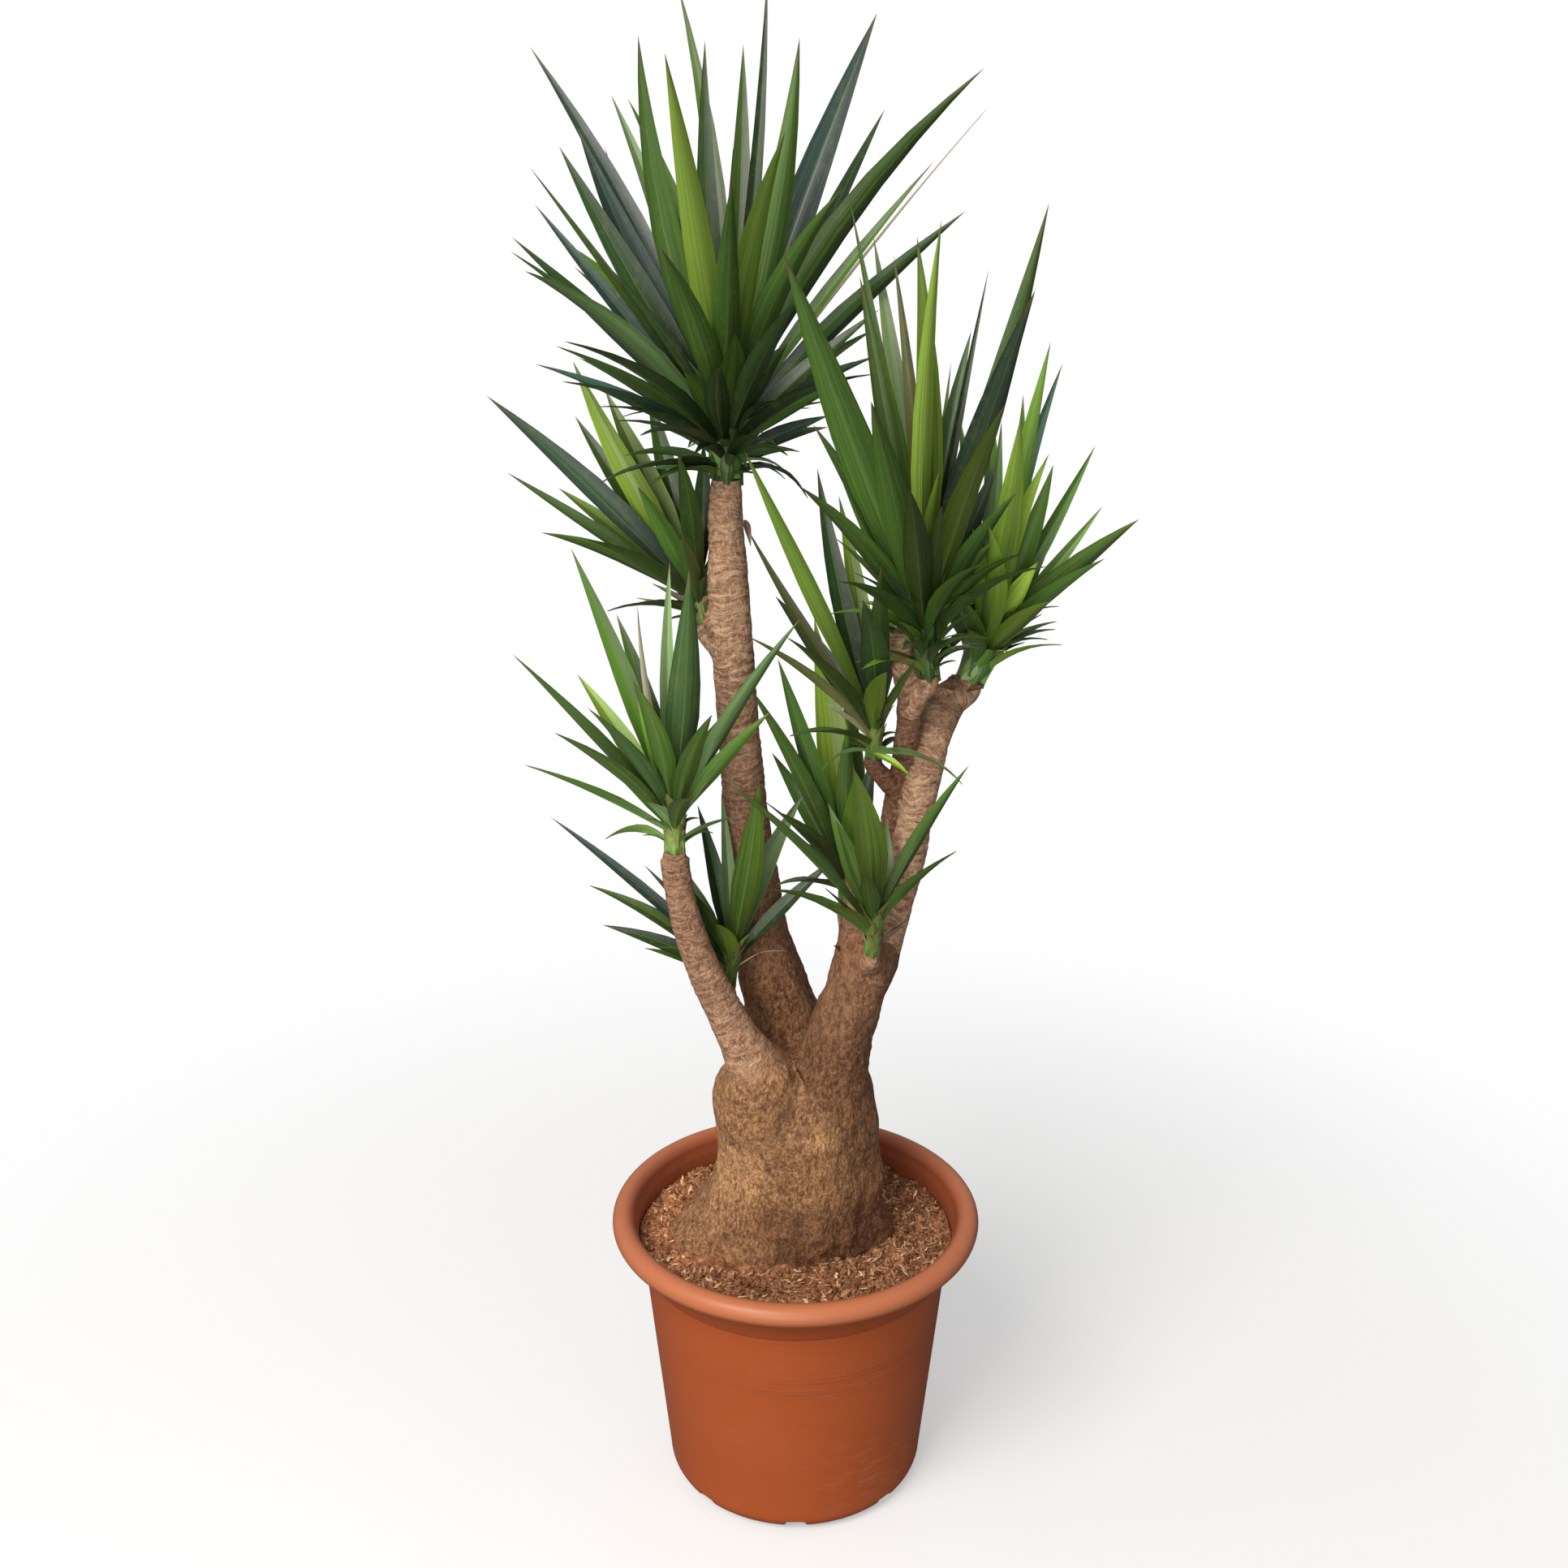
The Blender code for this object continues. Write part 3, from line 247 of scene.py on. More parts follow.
# How a leaf is placed: fan is degrees from upright in the front view, toward is degrees out of it to
# the front, then length from the head's heart, width, bow and a letter for its colour: d deep, b blue,
# g green, f fresh, s sunlit, p pale, o olive, t dry, w withered, h leaf base
SEEN_TOP = (
    (-12, 16, 0.39, 0.034, 0.02, "g"), (-8, 26, 0.39, 0.032, 0.03, "s"), (-7, -20, 0.47, 0.022, 0.02, "g"),
    (-3, -6, 0.375, 0.026, 0.02, "d"), (3, -12, 0.38, 0.028, 0.02, "g"), (6, -4, 0.44, 0.016, 0.02, "d"),
    (12, 2, 0.38, 0.034, 0.02, "g"), (22, -16, 0.455, 0.042, 0.03, "b"),
    (30, -34, 0.435, 0.026, 0.04, "d"), (38, 2, 0.435, 0.034, 0.05, "g"),
    (41, -10, 0.335, 0.016, 0.03, "g"), (43, -14, 0.45, 0.0042, 0.05, "t"),
    (51, 10, 0.325, 0.028, 0.05, "d"), (-22, -26, 0.39, 0.026, 0.02, "p"),
    (-20, -34, 0.415, 0.028, 0.02, "g"), (-30, -22, 0.45, 0.026, 0.02, "b"),
    (-29, -12, 0.335, 0.036, 0.02, "b"), (-33, -4, 0.32, 0.032, 0.03, "d"),
    (-28, -34, 0.37, 0.014, 0.02, "g"), (-40, -6, 0.325, 0.012, 0.03, "g"),
    (-45, -14, 0.305, 0.021, 0.04, "b"), (-51, 2, 0.285, 0.027, 0.05, "d"),
    (-53, 12, 0.28, 0.025, 0.05, "d"), (-51, 38, 0.305, 0.034, 0.10, "p"),
    (-38, 14, 0.20, 0.020, 0.04, "d"), (-50, -12, 0.24, 0.016, 0.05, "d"),
    (-69, 12, 0.195, 0.025, 0.06, "g"), (-77, -6, 0.21, 0.020, 0.06, "b"),
    (-76, 22, 0.21, 0.027, 0.07, "b"), (-75, -24, 0.19, 0.018, 0.06, "d"),
    (-93, 30, 0.135, 0.016, 0.10, "b"), (-114, 10, 0.125, 0.015, 0.12, "d"),
    (-83, 45, 0.18, 0.022, 0.09, "d"), (28, 26, 0.285, 0.032, 0.08, "g"),
    (58, -4, 0.195, 0.022, 0.05, "d"), (65, -22, 0.195, 0.021, 0.05, "g"),
    (68, 6, 0.175, 0.021, 0.06, "b"), (74, -14, 0.17, 0.021, 0.07, "d"), (76, 22, 0.145, 0.024, 0.07, "g"),
    (96, -10, 0.115, 0.020, 0.08, "b"), (102, 8, 0.115, 0.021, 0.10, "d"),
    (118, 24, 0.10, 0.018, 0.12, "d"), (-37, 62, 0.14, 0.032, 0.08, "g"), (9, 58, 0.17, 0.032, 0.08, "g"),
    (42, 44, 0.13, 0.030, 0.08, "d"), (-131, -20, 0.12, 0.015, 0.12, "d"),
    (-62, -42, 0.25, 0.028, 0.06, "b"), (-18, 44, 0.25, 0.030, 0.05, "g"),
)
SEEN_UPPER_MIDDLE = (
    (-22, 22, 0.43, 0.044, 0.03, "g"), (-11, -10, 0.425, 0.014, 0.02, "g"),
    (-8, -18, 0.40, 0.026, 0.02, "p"), (-12, 2, 0.35, 0.030, 0.02, "g"), (-6, -5, 0.365, 0.017, 0.02, "o"),
    (-3, 6, 0.39, 0.030, 0.02, "f"), (0, 11, 0.415, 0.022, 0.02, "s"), (11, -12, 0.36, 0.010, 0.02, "d"),
    (8, -26, 0.275, 0.011, 0.02, "g"), (11, -16, 0.305, 0.027, 0.03, "g"), (15, 6, 0.43, 0.031, 0.03, "g"),
    (15, 20, 0.37, 0.037, 0.04, "b"), (-32, -6, 0.225, 0.027, 0.05, "g"),
    (-16, 42, 0.34, 0.037, 0.04, "g"), (2, 34, 0.20, 0.020, 0.03, "f"), (1, 52, 0.225, 0.024, 0.04, "g"),
    (-50, 16, 0.13, 0.012, 0.05, "g"), (62, 36, 0.165, 0.025, 0.10, "g"), (52, 42, 0.16, 0.024, 0.10, "g"),
    (-12, 58, 0.33, 0.030, 0.05, "g"), (13, 36, 0.325, 0.032, 0.05, "f"),
    (-24, -32, 0.19, 0.026, 0.04, "d"), (86, 30, 0.07, 0.010, 0.10, "g"),
    (-70, 30, 0.06, 0.010, 0.08, "f"), (34, 20, 0.17, 0.028, 0.04, "g"), (30, -22, 0.18, 0.026, 0.04, "d"),
    (46, 2, 0.11, 0.024, 0.05, "g"), (-153, 22, 0.105, 0.016, 0.10, "d"),
)
SEEN_RIGHT = (
    (9, 2, 0.33, 0.025, 0.02, "f"), (15, -14, 0.315, 0.021, 0.02, "b"), (28, -6, 0.24, 0.019, 0.05, "g"),
    (11, 24, 0.245, 0.022, 0.03, "s"), (16, 10, 0.21, 0.028, 0.04, "g"), (39, -5, 0.19, 0.017, 0.06, "g"),
    (43, 16, 0.23, 0.031, 0.06, "g"), (8, -12, 0.275, 0.024, 0.02, "g"), (4, -24, 0.25, 0.024, 0.02, "p"),
    (1, 30, 0.305, 0.034, 0.03, "f"), (36, -16, 0.115, 0.010, 0.04, "d"), (1, -34, 0.31, 0.030, 0.02, "g"),
    (-8, -28, 0.255, 0.028, 0.02, "g"), (-10, 54, 0.25, 0.028, 0.05, "f"),
    (-17, 30, 0.18, 0.024, 0.04, "f"), (22, 34, 0.13, 0.026, 0.05, "s"), (34, -30, 0.12, 0.024, 0.05, "g"),
    (-34, 36, 0.14, 0.026, 0.05, "g"), (-44, 14, 0.10, 0.023, 0.05, "d"),
    (-26, -8, 0.17, 0.026, 0.03, "d"), (60, 2, 0.055, 0.022, 0.05, "f"),
)
SEEN_MIDDLE = (
    (-25, 14, 0.35, 0.022, 0.03, "f"), (-14, -20, 0.285, 0.026, 0.02, "d"),
    (-10, -32, 0.265, 0.026, 0.02, "s"), (-8, 46, 0.25, 0.034, 0.05, "d"),
    (-56, 8, 0.175, 0.019, 0.07, "o"), (-35, -8, 0.255, 0.014, 0.02, "o"),
    (-75, 2, 0.063, 0.009, 0.05, "t"), (-108, 6, 0.045, 0.009, 0.05, "o"),
    (-132, 24, 0.09, 0.010, 0.14, "p"), (123, 30, 0.13, 0.021, 0.12, "p"),
    (27, 32, 0.105, 0.014, 0.04, "g"), (145, 36, 0.055, 0.020, 0.05, "p"),
    (3, -14, 0.165, 0.015, 0.02, "g"),
)
SEEN_INNER_RIGHT = (
    (-8, -18, 0.295, 0.042, 0.02, "s"), (-17, 8, 0.28, 0.026, 0.03, "g"),
    (-25, 14, 0.275, 0.023, 0.03, "g"), (-45, 2, 0.14, 0.011, 0.04, "d"),
    (-45, 14, 0.083, 0.014, 0.06, "d"), (14, -22, 0.14, 0.027, 0.03, "d"),
    (-1, -36, 0.245, 0.029, 0.03, "f"),
)
SEEN_LOW_RIGHT = (
    (-9, 28, 0.23, 0.037, 0.03, "f"), (29, 6, 0.20, 0.021, 0.04, "g"), (44, 22, 0.13, 0.025, 0.04, "g"),
    (-74, 16, 0.14, 0.027, 0.10, "g"), (-47, 4, 0.225, 0.021, 0.03, "g"),
    (-67, 10, 0.062, 0.009, 0.03, "d"), (113, 4, 0.042, 0.007, 0.03, "w"),
    (-12, 50, 0.13, 0.022, 0.05, "g"),
)
SEEN_LOW_CENTRE = (
    (8, 20, 0.255, 0.034, 0.03, "f"), (24, -6, 0.205, 0.027, 0.03, "p"),
    (-4, -26, 0.185, 0.017, 0.03, "p"), (-14, -14, 0.175, 0.023, 0.03, "d"),
    (48, -6, 0.165, 0.019, 0.06, "d"), (-56, -12, 0.265, 0.015, 0.03, "b"),
    (-71, -16, 0.19, 0.021, 0.06, "g"), (-79, -6, 0.155, 0.019, 0.06, "d"),
    (-91, -4, 0.105, 0.012, 0.06, "g"), (-50, -18, 0.145, 0.011, 0.03, "d"),
    (-16, 45, 0.085, 0.024, 0.08, "f"),
)
SEEN_LEFT = (
    (-21, -5, 0.30, 0.024, 0.02, "g"), (-9, 0, 0.225, 0.009, 0.02, "t"), (-16, 4, 0.137, 0.014, 0.02, "f"),
    (-1, -16, 0.265, 0.018, 0.02, "p"), (5, 12, 0.28, 0.037, 0.02, "d"), (33, 5, 0.255, 0.024, 0.03, "p"),
    (44, 8, 0.155, 0.024, 0.04, "g"), (-43, 8, 0.245, 0.025, 0.03, "g"), (-33, 20, 0.17, 0.026, 0.03, "d"),
    (-73, 6, 0.17, 0.020, 0.05, "g"), (-71, -16, 0.088, 0.015, 0.06, "g"),
    (-117, 8, 0.088, 0.017, 0.20, "g"), (99, 10, 0.075, 0.009, 0.06, "d"),
    (-58, 56, 0.06, 0.022, 0.08, "p"),
)
SEEN_BACK_LEFT = (
    (-47, 5, 0.305, 0.032, 0.03, "b"), (-59, 0, 0.24, 0.019, 0.03, "g"), (-28, 2, 0.275, 0.032, 0.02, "s"),
    (-27, -18, 0.24, 0.032, 0.03, "f"), (-16, -28, 0.235, 0.029, 0.03, "g"),
    (3, -34, 0.17, 0.025, 0.03, "d"), (-3, -12, 0.11, 0.023, 0.03, "g"), (-95, 8, 0.050, 0.009, 0.05, "t"),
    (-106, 12, 0.071, 0.009, 0.05, "t"), (-26, 30, 0.15, 0.025, 0.05, "g"),
)
# Name, foot and heart of the green core, radius at both, seen leaves, then the spiral's number of
# leaves, the longest of them and the lowest tilt in degrees
HEADS = (
    ("head_low_right", (0.085, -0.067, 0.726), (0.088, -0.080, 0.788), 0.0088, 0.0072,
     SEEN_LOW_RIGHT, 16, 0.15, 80),
    ("head_low_centre", (-0.080, -0.002, 0.660), (-0.074, -0.002, 0.703), 0.0090, 0.0072,
     SEEN_LOW_CENTRE, 16, 0.17, 80),
    ("head_left", (-0.136, -0.057, 0.847), (-0.135, -0.058, 0.905), 0.0115, 0.0090,
     SEEN_LEFT, 30, 0.24, 96),
    ("head_middle", (0.087, 0.002, 0.938), (0.088, -0.005, 0.990), 0.0092, 0.0078,
     SEEN_MIDDLE, 24, 0.27, 86),
    ("head_inner_right", (0.060, 0.009, 0.763), (0.060, 0.008, 0.797), 0.0105, 0.0090,
     SEEN_INNER_RIGHT, 24, 0.24, 84),
    ("head_back_left", (-0.106, 0.068, 1.076), (-0.115, 0.078, 1.127), 0.0105, 0.0082,
     SEEN_BACK_LEFT, 32, 0.27, 84),
    ("head_upper_middle", (0.144, -0.026, 1.040), (0.135, -0.036, 1.122), 0.0105, 0.0090,
     SEEN_UPPER_MIDDLE, 52, 0.37, 76),
    ("head_right", (0.198, 0.050, 1.015), (0.220, 0.055, 1.066), 0.0150, 0.0120,
     SEEN_RIGHT, 48, 0.30, 72),
    ("head_top", (-0.078, 0.055, 1.243), (-0.077, 0.053, 1.322), 0.0152, 0.0110,
     SEEN_TOP, 72, 0.41, 108),
)
STEM_OF_HEAD = {"head_top": TALL_STEM, "head_left": LEFT_ARM, "head_right": RIGHT_FORK}
# Stems that end bare. With each: how dark its bark is low down and high up, from age and painted shade,
# how late that changes, and how much lighter it is painted than other stems, as painted light
BARE_STEMS = ((RIGHT_ARM, (0.62, 0.34, 1.0, 0.10)), (MIDDLE_FORK, (0.80, 0.0, 7.0, 0.0)),
              (CUT_STUMP, (0.2, 0.1, 1.0, 0.0)), (RIGHT_STUMP, (0.0, 0.0, 1.0, 0.5)),
              (KNOB, (0.4, 0.4, 1.0, 0.0)))
# The same four numbers for the stems under heads. A stem that isn't named is YOUNG
# The last number is painted light: it lifts stems such as head_right's fork, which leaves shade
STEM_AGES = {"head_top": (0.70, 0.0, 1.3, 0.0), "head_middle": (0.9, 0.9, 1.0, 0.0),
             "head_right": (0.0, 0.0, 1.0, 0.95), "head_left": (0.0, 0.62, 0.5, 0.45)}
YOUNG = (0.0, 0.0, 1.0, 0.0)
# Heads whose leaf bases are longer and mostly dark, and the foot radius above which a core is full and dark
BIG_HEADS = ("head_top", "head_right", "head_upper_middle")
BIG_CORE = 0.0145
# Short leaves about a head's foot: how many, the longest, and the steepest tilt in degrees
SMALL_LEAVES = {"head_upper_middle": (40, 0.120, 74), "head_right": (38, 0.115, 50),
                "head_top": (34, 0.120, 98), "head_middle": (10, 0.050, 74),
                "head_back_left": (14, 0.065, 84), "head_left": (8, 0.050, 72)}
# Painted light and shade on whole heads: how much lighter or darker a head's leaves are than their colours
# say
HEAD_PAINTED_LIGHT = {"head_right": 1.66, "head_left": 1.56, "head_low_centre": 0.78, "head_upper_middle": 0.92,
              "head_top": 0.88}
# Dead scales and thin leaves placed one by one: head, root, tip, width, bow and letter
SMALL_BITS = (
    ("head_low_right", (0.0534, -0.030, 0.7118), (0.0428, -0.036, 0.7226), 0.006, 0.05, "w"),
    ("head_low_right", (0.0967, -0.052, 0.7377), (0.1268, -0.062, 0.7670), 0.0035, 0.06, "w"),
    ("head_low_centre", (-0.0743, 0.000, 0.6744), (-0.0408, 0.004, 0.6967), 0.0022, 0.10, "t"),
    ("head_low_centre", (-0.0430, 0.004, 0.6957), (-0.0084, 0.012, 0.6940), 0.0020, 0.10, "t"),
    ("head_middle", (0.0840, -0.006, 0.9450), (0.1272, -0.030, 0.9251), 0.0100, 0.14, "s"),
    ("head_back_left", (-0.0980, 0.050, 1.1120), (-0.1066, 0.047, 1.1044), 0.009, 0.05, "w"),
    ("head_back_left", (-0.0960, 0.050, 1.0830), (-0.1052, 0.047, 1.0774), 0.009, 0.05, "w"),
    ("head_middle", (-0.0575, 0.020, 1.2040), (-0.0500, -0.010, 1.1800), 0.008, 0.20, "w"),
    ("head_right", (0.1930, 0.030, 1.0080), (0.2080, 0.018, 1.0135), 0.010, 0.05, "w"),
    ("head_upper_middle", (0.1520, -0.020, 1.0600), (0.1850, -0.045, 1.0930), 0.0026, 0.30, "p"),
    ("head_upper_middle", (0.1500, -0.024, 1.0500), (0.1990, -0.040, 1.0810), 0.0026, 0.22, "p"),
    ("head_upper_middle", (0.1340, -0.030, 1.0500), (0.1010, -0.050, 1.0980), 0.0026, 0.26, "p"),
)
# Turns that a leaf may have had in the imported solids, out to the front and sideways, in degrees, and how
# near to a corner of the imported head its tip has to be
TURNS = (0, 5, -5, 10, -10, 15, -15, 21, -21, 28, -28, 36, -36)
SIDEWAYS = (0, 3, -3, 6, -6)
TIP_MATCH = 0.0005
# Leaves of the spiral are left out if they lie nearer to the picture's plane, reach farther to the sides
# or come nearer to a seen leaf, in degrees, than this. The uppermost one has the tilt HIGHEST_TILT
NEAR_PLANE = 0.36
WIDEST_SPREAD = 0.60
NEAR_DEGREES = 12
HIGHEST_TILT = 8
# How far a leaf's upper side is rolled to the back, or to the front if the leaf points back
ROLL = 1.1
# Where along its length a leaf is widest, and its width at the root as a share of that
LEAF_WIDEST_AT = 0.42
LEAF_ROOT_WIDTH = 0.40
# Where along a blade its rings of points are
BLADE_RINGS = (0.0, 0.06, 0.14, 0.25, 0.38, 0.52, 0.66, 0.79, 0.90, 0.97)
# How pale a leaf's base is. Letters that aren't named have 0.30
PALE_BASES = {"w": 0.0, "t": 0.0, "f": 1.0, "s": 1.0, "p": 1.0, "h": 1.0}

# Colours of small marks, among them painted light and shade. AGED_SHADE is how much bark darkened by age
# and painted shade keeps of its red, green and blue
# Soil stain and painted shade on the tub's inside wall
SOIL_STAIN_AND_SHADE = (0.175, 0.062, 0.040)
SCUFFED_CLAY = (0.58, 0.30, 0.19)
TURNED_LINE = (0.260, 0.056, 0.022)
# Painted shadow under the rolled rim and under the bead
RIM_SHADOW_TONE = (0.120, 0.024, 0.010)
RUSTY_BARK = (0.270, 0.106, 0.052)
PALE_RIDGE = (0.800, 0.515, 0.320)
DARK_WRINKLE = (0.165, 0.062, 0.034)
RING_SHADE = (0.170, 0.070, 0.038)
STEM_FLECK = (0.780, 0.520, 0.330)
FOOT_BARK = (0.480, 0.205, 0.074)
OLD_FOOT_BARK = (0.225, 0.083, 0.046)
# Painted light on the foot's lit left side; pale scars take this colour too
PALE_AND_LIT_FOOT = (0.780, 0.450, 0.220)
FOOT_MOTTLE = (0.150, 0.060, 0.034)
FOOT_STREAK = (0.570, 0.300, 0.118)
FOOT_CORK = (0.105, 0.042, 0.024)
FOOT_SPECK = (0.100, 0.038, 0.020)
AGED_SHADE = (0.46, 0.37, 0.36)
CUT_GRAIN = (0.42, 0.19, 0.08)
MIDRIB = (0.20, 0.32, 0.07)
LEAF_SPOT = (0.20, 0.19, 0.05)
BROWN_TIP = (0.13, 0.085, 0.04)
TIP_POINT = (0.12, 0.08, 0.04)
RUST = (0.22, 0.12, 0.05)
# The bark's grains: how fine, how stretched and how sharp
BARK_GRAINS = {
    "patch": (30.0, (1, 1, 0.8), 3.4),
    "blot": (110.0, (1.1, 1.1, 0.8), 5.0),
    "broad": (13.0, (1, 1, 0.7), 4.0),
    "mottle": (42.0, (1.2, 1.2, 0.7), 4.0),
    "streak": (52.0, (1.5, 1.5, 0.22), 4.5),
    "cork": (150.0, (1.1, 1.1, 0.75), 5.5),
    "straw": (190.0, (1.2, 1.2, 0.65), 7.0),
    "speck": (340.0, (1.0, 1.0, 0.85), 6.5),
}
# Grain in rings on the stems: how fine across and along, how sharp, and how far it is shifted
BARK_RINGS = {"ridge": (46.0, 1.9, 5.0, 0.0), "wrinkle": (70.0, 3.1, 6.0, 40.0)}


# Meshes from arrays

def grid_quads(rows, columns):
    """Quads of a grid of rows x columns points, each row joined end to end."""
    row, column = np.meshgrid(np.arange(rows - 1), np.arange(columns), indexing="ij")
    beside = (column + 1) % columns
    corners = [row * columns + column, row * columns + beside,
               (row + 1) * columns + beside, (row + 1) * columns + column]
    return np.stack(corners, axis=-1).reshape(-1, 4)


def fan_triangles(ring, centre, flip):
    """Triangles from one ring of points to a point at its middle."""
    beside = np.roll(ring, -1)
    middle = np.full_like(ring, centre)
    order = (beside, ring, middle) if flip else (ring, beside, middle)
    return np.stack(order, axis=-1)


def closed_tube(rings):
    """Points, quads and triangles of stacked rings, shape (rows, sides, 3), closed by a point at each end."""
    rows, sides = rings.shape[:2]
    points = np.concatenate([rings.reshape(-1, 3), rings[0].mean(0)[None], rings[-1].mean(0)[None]])
    low = fan_triangles(np.arange(sides), rows * sides, True)
    high = fan_triangles(np.arange(sides) + (rows - 1) * sides, rows * sides + 1, False)
    return points, grid_quads(rows, sides), np.concatenate([low, high])


def joined(shapes):
    """Several (points, quads, triangles) put end to end as one."""
    points, quads, triangles, first = [], [], [], 0
    for shape in shapes:
        points.append(shape[0])
        quads.append(shape[1] + first)
        triangles.append(shape[2] + first)
        first += len(shape[0])
    return np.concatenate(points), np.concatenate(quads), np.concatenate(triangles)


def with_ends(grid, low=0, high=0):
    """A tube's values in a row, then those of the points that close its two ends."""
    return np.concatenate([grid.ravel(), [low, high]])


def spokes(side, other, angle):
    """Unit vectors round an axis: cos a U + sin a V for each row of U and V and each angle."""
    return np.cos(angle)[:, None] * side[:, None] + np.sin(angle)[:, None] * other[:, None]


def add_piece(name, shape, finish, values=None, colours=None, replaces=(), stage=False):
    """A mesh object at the origin, from points, quads and triangles, riding on the part.

    It is shaded smooth, but creases of more than 50 degrees stay sharp.
    """
    points, quads, triangles = shape
    mesh = bpy.data.meshes.new(name)
    mesh.vertices.add(len(points))
    mesh.vertices.foreach_set("co", points.astype(np.float32).ravel())
    corners = np.concatenate([quads.ravel(), triangles.ravel()]).astype(np.int32)
    mesh.loops.add(len(corners))
    mesh.loops.foreach_set("vertex_index", corners)
    mesh.polygons.add(len(quads) + len(triangles))
    starts = np.concatenate([np.arange(len(quads)) * 4, len(quads) * 4 + np.arange(len(triangles)) * 3])
    mesh.polygons.foreach_set("loop_start", starts.astype(np.int32))
    mesh.update(calc_edges=True)
    mesh.shade_smooth()
    mesh.set_sharp_from_angle(angle=math.radians(50))
    for key, numbers in (values or {}).items():
        layer = mesh.attributes.new(key, "FLOAT", "POINT")
        layer.data.foreach_set("value", np.asarray(numbers, np.float32).ravel())
    for key, numbers in (colours or {}).items():
        layer = mesh.attributes.new(key, "FLOAT_COLOR", "POINT")
        rgba = np.concatenate([numbers, np.ones((len(numbers), 1))], axis=1)
        layer.data.foreach_set("color", rgba.astype(np.float32).ravel())
    mesh.materials.append(finish)
    piece = bpy.data.objects.new(name, mesh)
    bpy.context.scene.collection.objects.link(piece)
    if stage:
        return
    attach(piece, "root")
    if replaces:
        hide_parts(*replaces)


# Numbers and colours over places

def ramp(value, start, run):
    """From 0 at start to 1 at start + run, level beyond both. With a run below zero it rises downwards."""
    return np.clip((value - start) / run, 0, 1)


def blended(first, second, part):
    """Colours between two others: (1 - part) first + part second."""
    return np.array(first) * (1 - part) + np.array(second) * part


def noise(points, seed=0):
    """Smooth noise from -1 to 1: random heights on a unit lattice, blended by smoothstep in between."""
    table = np.random.default_rng(seed).uniform(-1, 1, NOISE_HEIGHTS)
    cell = np.floor(points).astype(np.int64)
    part = points - cell
    part = part * part * (3 - 2 * part)
    total = np.zeros(points.shape[:-1])
    for corner in np.ndindex(2, 2, 2):
        at = (cell + np.array(corner)) * np.array(NOISE_PRIMES)
        key = at[..., 0] ^ at[..., 1] ^ at[..., 2]
        weight = np.prod(np.where(np.array(corner) == 1, part, 1 - part), axis=-1)
        total += weight * table[key % NOISE_HEIGHTS]
    return total


def rough(points, octaves, seed=0):
    """Noise summed over octaves, each twice as fine and half as high as the one before."""
    return sum(noise(points * 2**k, seed + k) / 2**k for k in range(octaves))


def smooth_values(knots, values, at, steady=False):
    """Values at places between knots: a cubic through them whose slopes are those of their neighbours.

    A steady cubic never goes past the values at its knots.
    """
    slope = np.gradient(values, knots)
    if steady:
        rise = np.diff(values) / np.diff(knots)
        before, after = np.append(rise[0], rise), np.append(rise, rise[-1])
        limit = 2 * np.minimum(np.abs(before), np.abs(after)) * (before * after > 0)
        slope = np.clip(slope, -limit, limit)
    k = np.clip(np.searchsorted(knots, at, side="right") - 1, 0, len(knots) - 2)
    step = knots[k + 1] - knots[k]
    t = np.clip((at - knots[k]) / step, 0, 1)
    start = (1 + 2 * t) * (1 - t) ** 2 * values[k] + t * (1 - t) ** 2 * step * slope[k]
    return start + t * t * (3 - 2 * t) * values[k + 1] + t * t * (t - 1) * step * slope[k + 1]


# Node trees

def new_material(name):
    """A new material, its node tree and its Principled BSDF."""
    made = bpy.data.materials.new(name)
    made.use_nodes = True
    tree = made.node_tree
    return made, tree, tree.nodes["Principled BSDF"]


def set_up(node, **settings):
    """Settings that name an input socket set its value, others set the node itself."""
    for key, value in settings.items():
        if hasattr(node, key):
            setattr(node, key, value)
        else:
            node.inputs[key.replace("_", " ")].default_value = value


def put(tree, kind, **settings):
    """A new node of that kind, set up."""
    node = tree.nodes.new(kind)
    set_up(node, **settings)
    return node


def wire(tree, start, end):
    """A link from an output socket to an input socket."""
    tree.links.new(start, end)


def attribute(tree, name, output="Fac"):
    """The socket of a mesh attribute."""
    return put(tree, "ShaderNodeAttribute", attribute_name=name).outputs[output]


def mixed(tree, factor, first, second):
    """A colour mix. Each of the three may be a socket or a fixed value."""
    node = put(tree, "ShaderNodeMix", data_type="RGBA")
    for place, given in ((0, factor), (6, first), (7, second)):
        socket = node.inputs[place]
        if isinstance(given, bpy.types.NodeSocket):
            wire(tree, given, socket)
        else:
            socket.default_value = given if place == 0 else (*given, 1.0)
    return node.outputs[2]


def worked(tree, operation, first, second=0.0, clamp=False):
    """A maths node's output, from two sockets or numbers."""
    node = put(tree, "ShaderNodeMath", operation=operation, use_clamp=clamp)
    for place, given in enumerate((first, second)):
        if isinstance(given, bpy.types.NodeSocket):
            wire(tree, given, node.inputs[place])
        else:
            node.inputs[place].default_value = given
    return node.outputs[0]


def times(tree, first, second, clamp=False):
    """The product of two sockets or numbers."""
    return worked(tree, "MULTIPLY", first, second, clamp)


def plus(tree, first, second, clamp=False):
    """The sum of two sockets or numbers."""
    return worked(tree, "ADD", first, second, clamp)


def less(tree, first, second, clamp=False):
    """The first of two sockets or numbers, less the second."""
    return worked(tree, "SUBTRACT", first, second, clamp)


def pulse(tree, value, middle, half):
    """A peak of height 1 at middle that falls evenly to 0 on both sides: max(0, 1 - |v - middle| / half)."""
    away = worked(tree, "ABSOLUTE", less(tree, value, middle))
    return less(tree, 1.0, worked(tree, "DIVIDE", away, half), clamp=True)


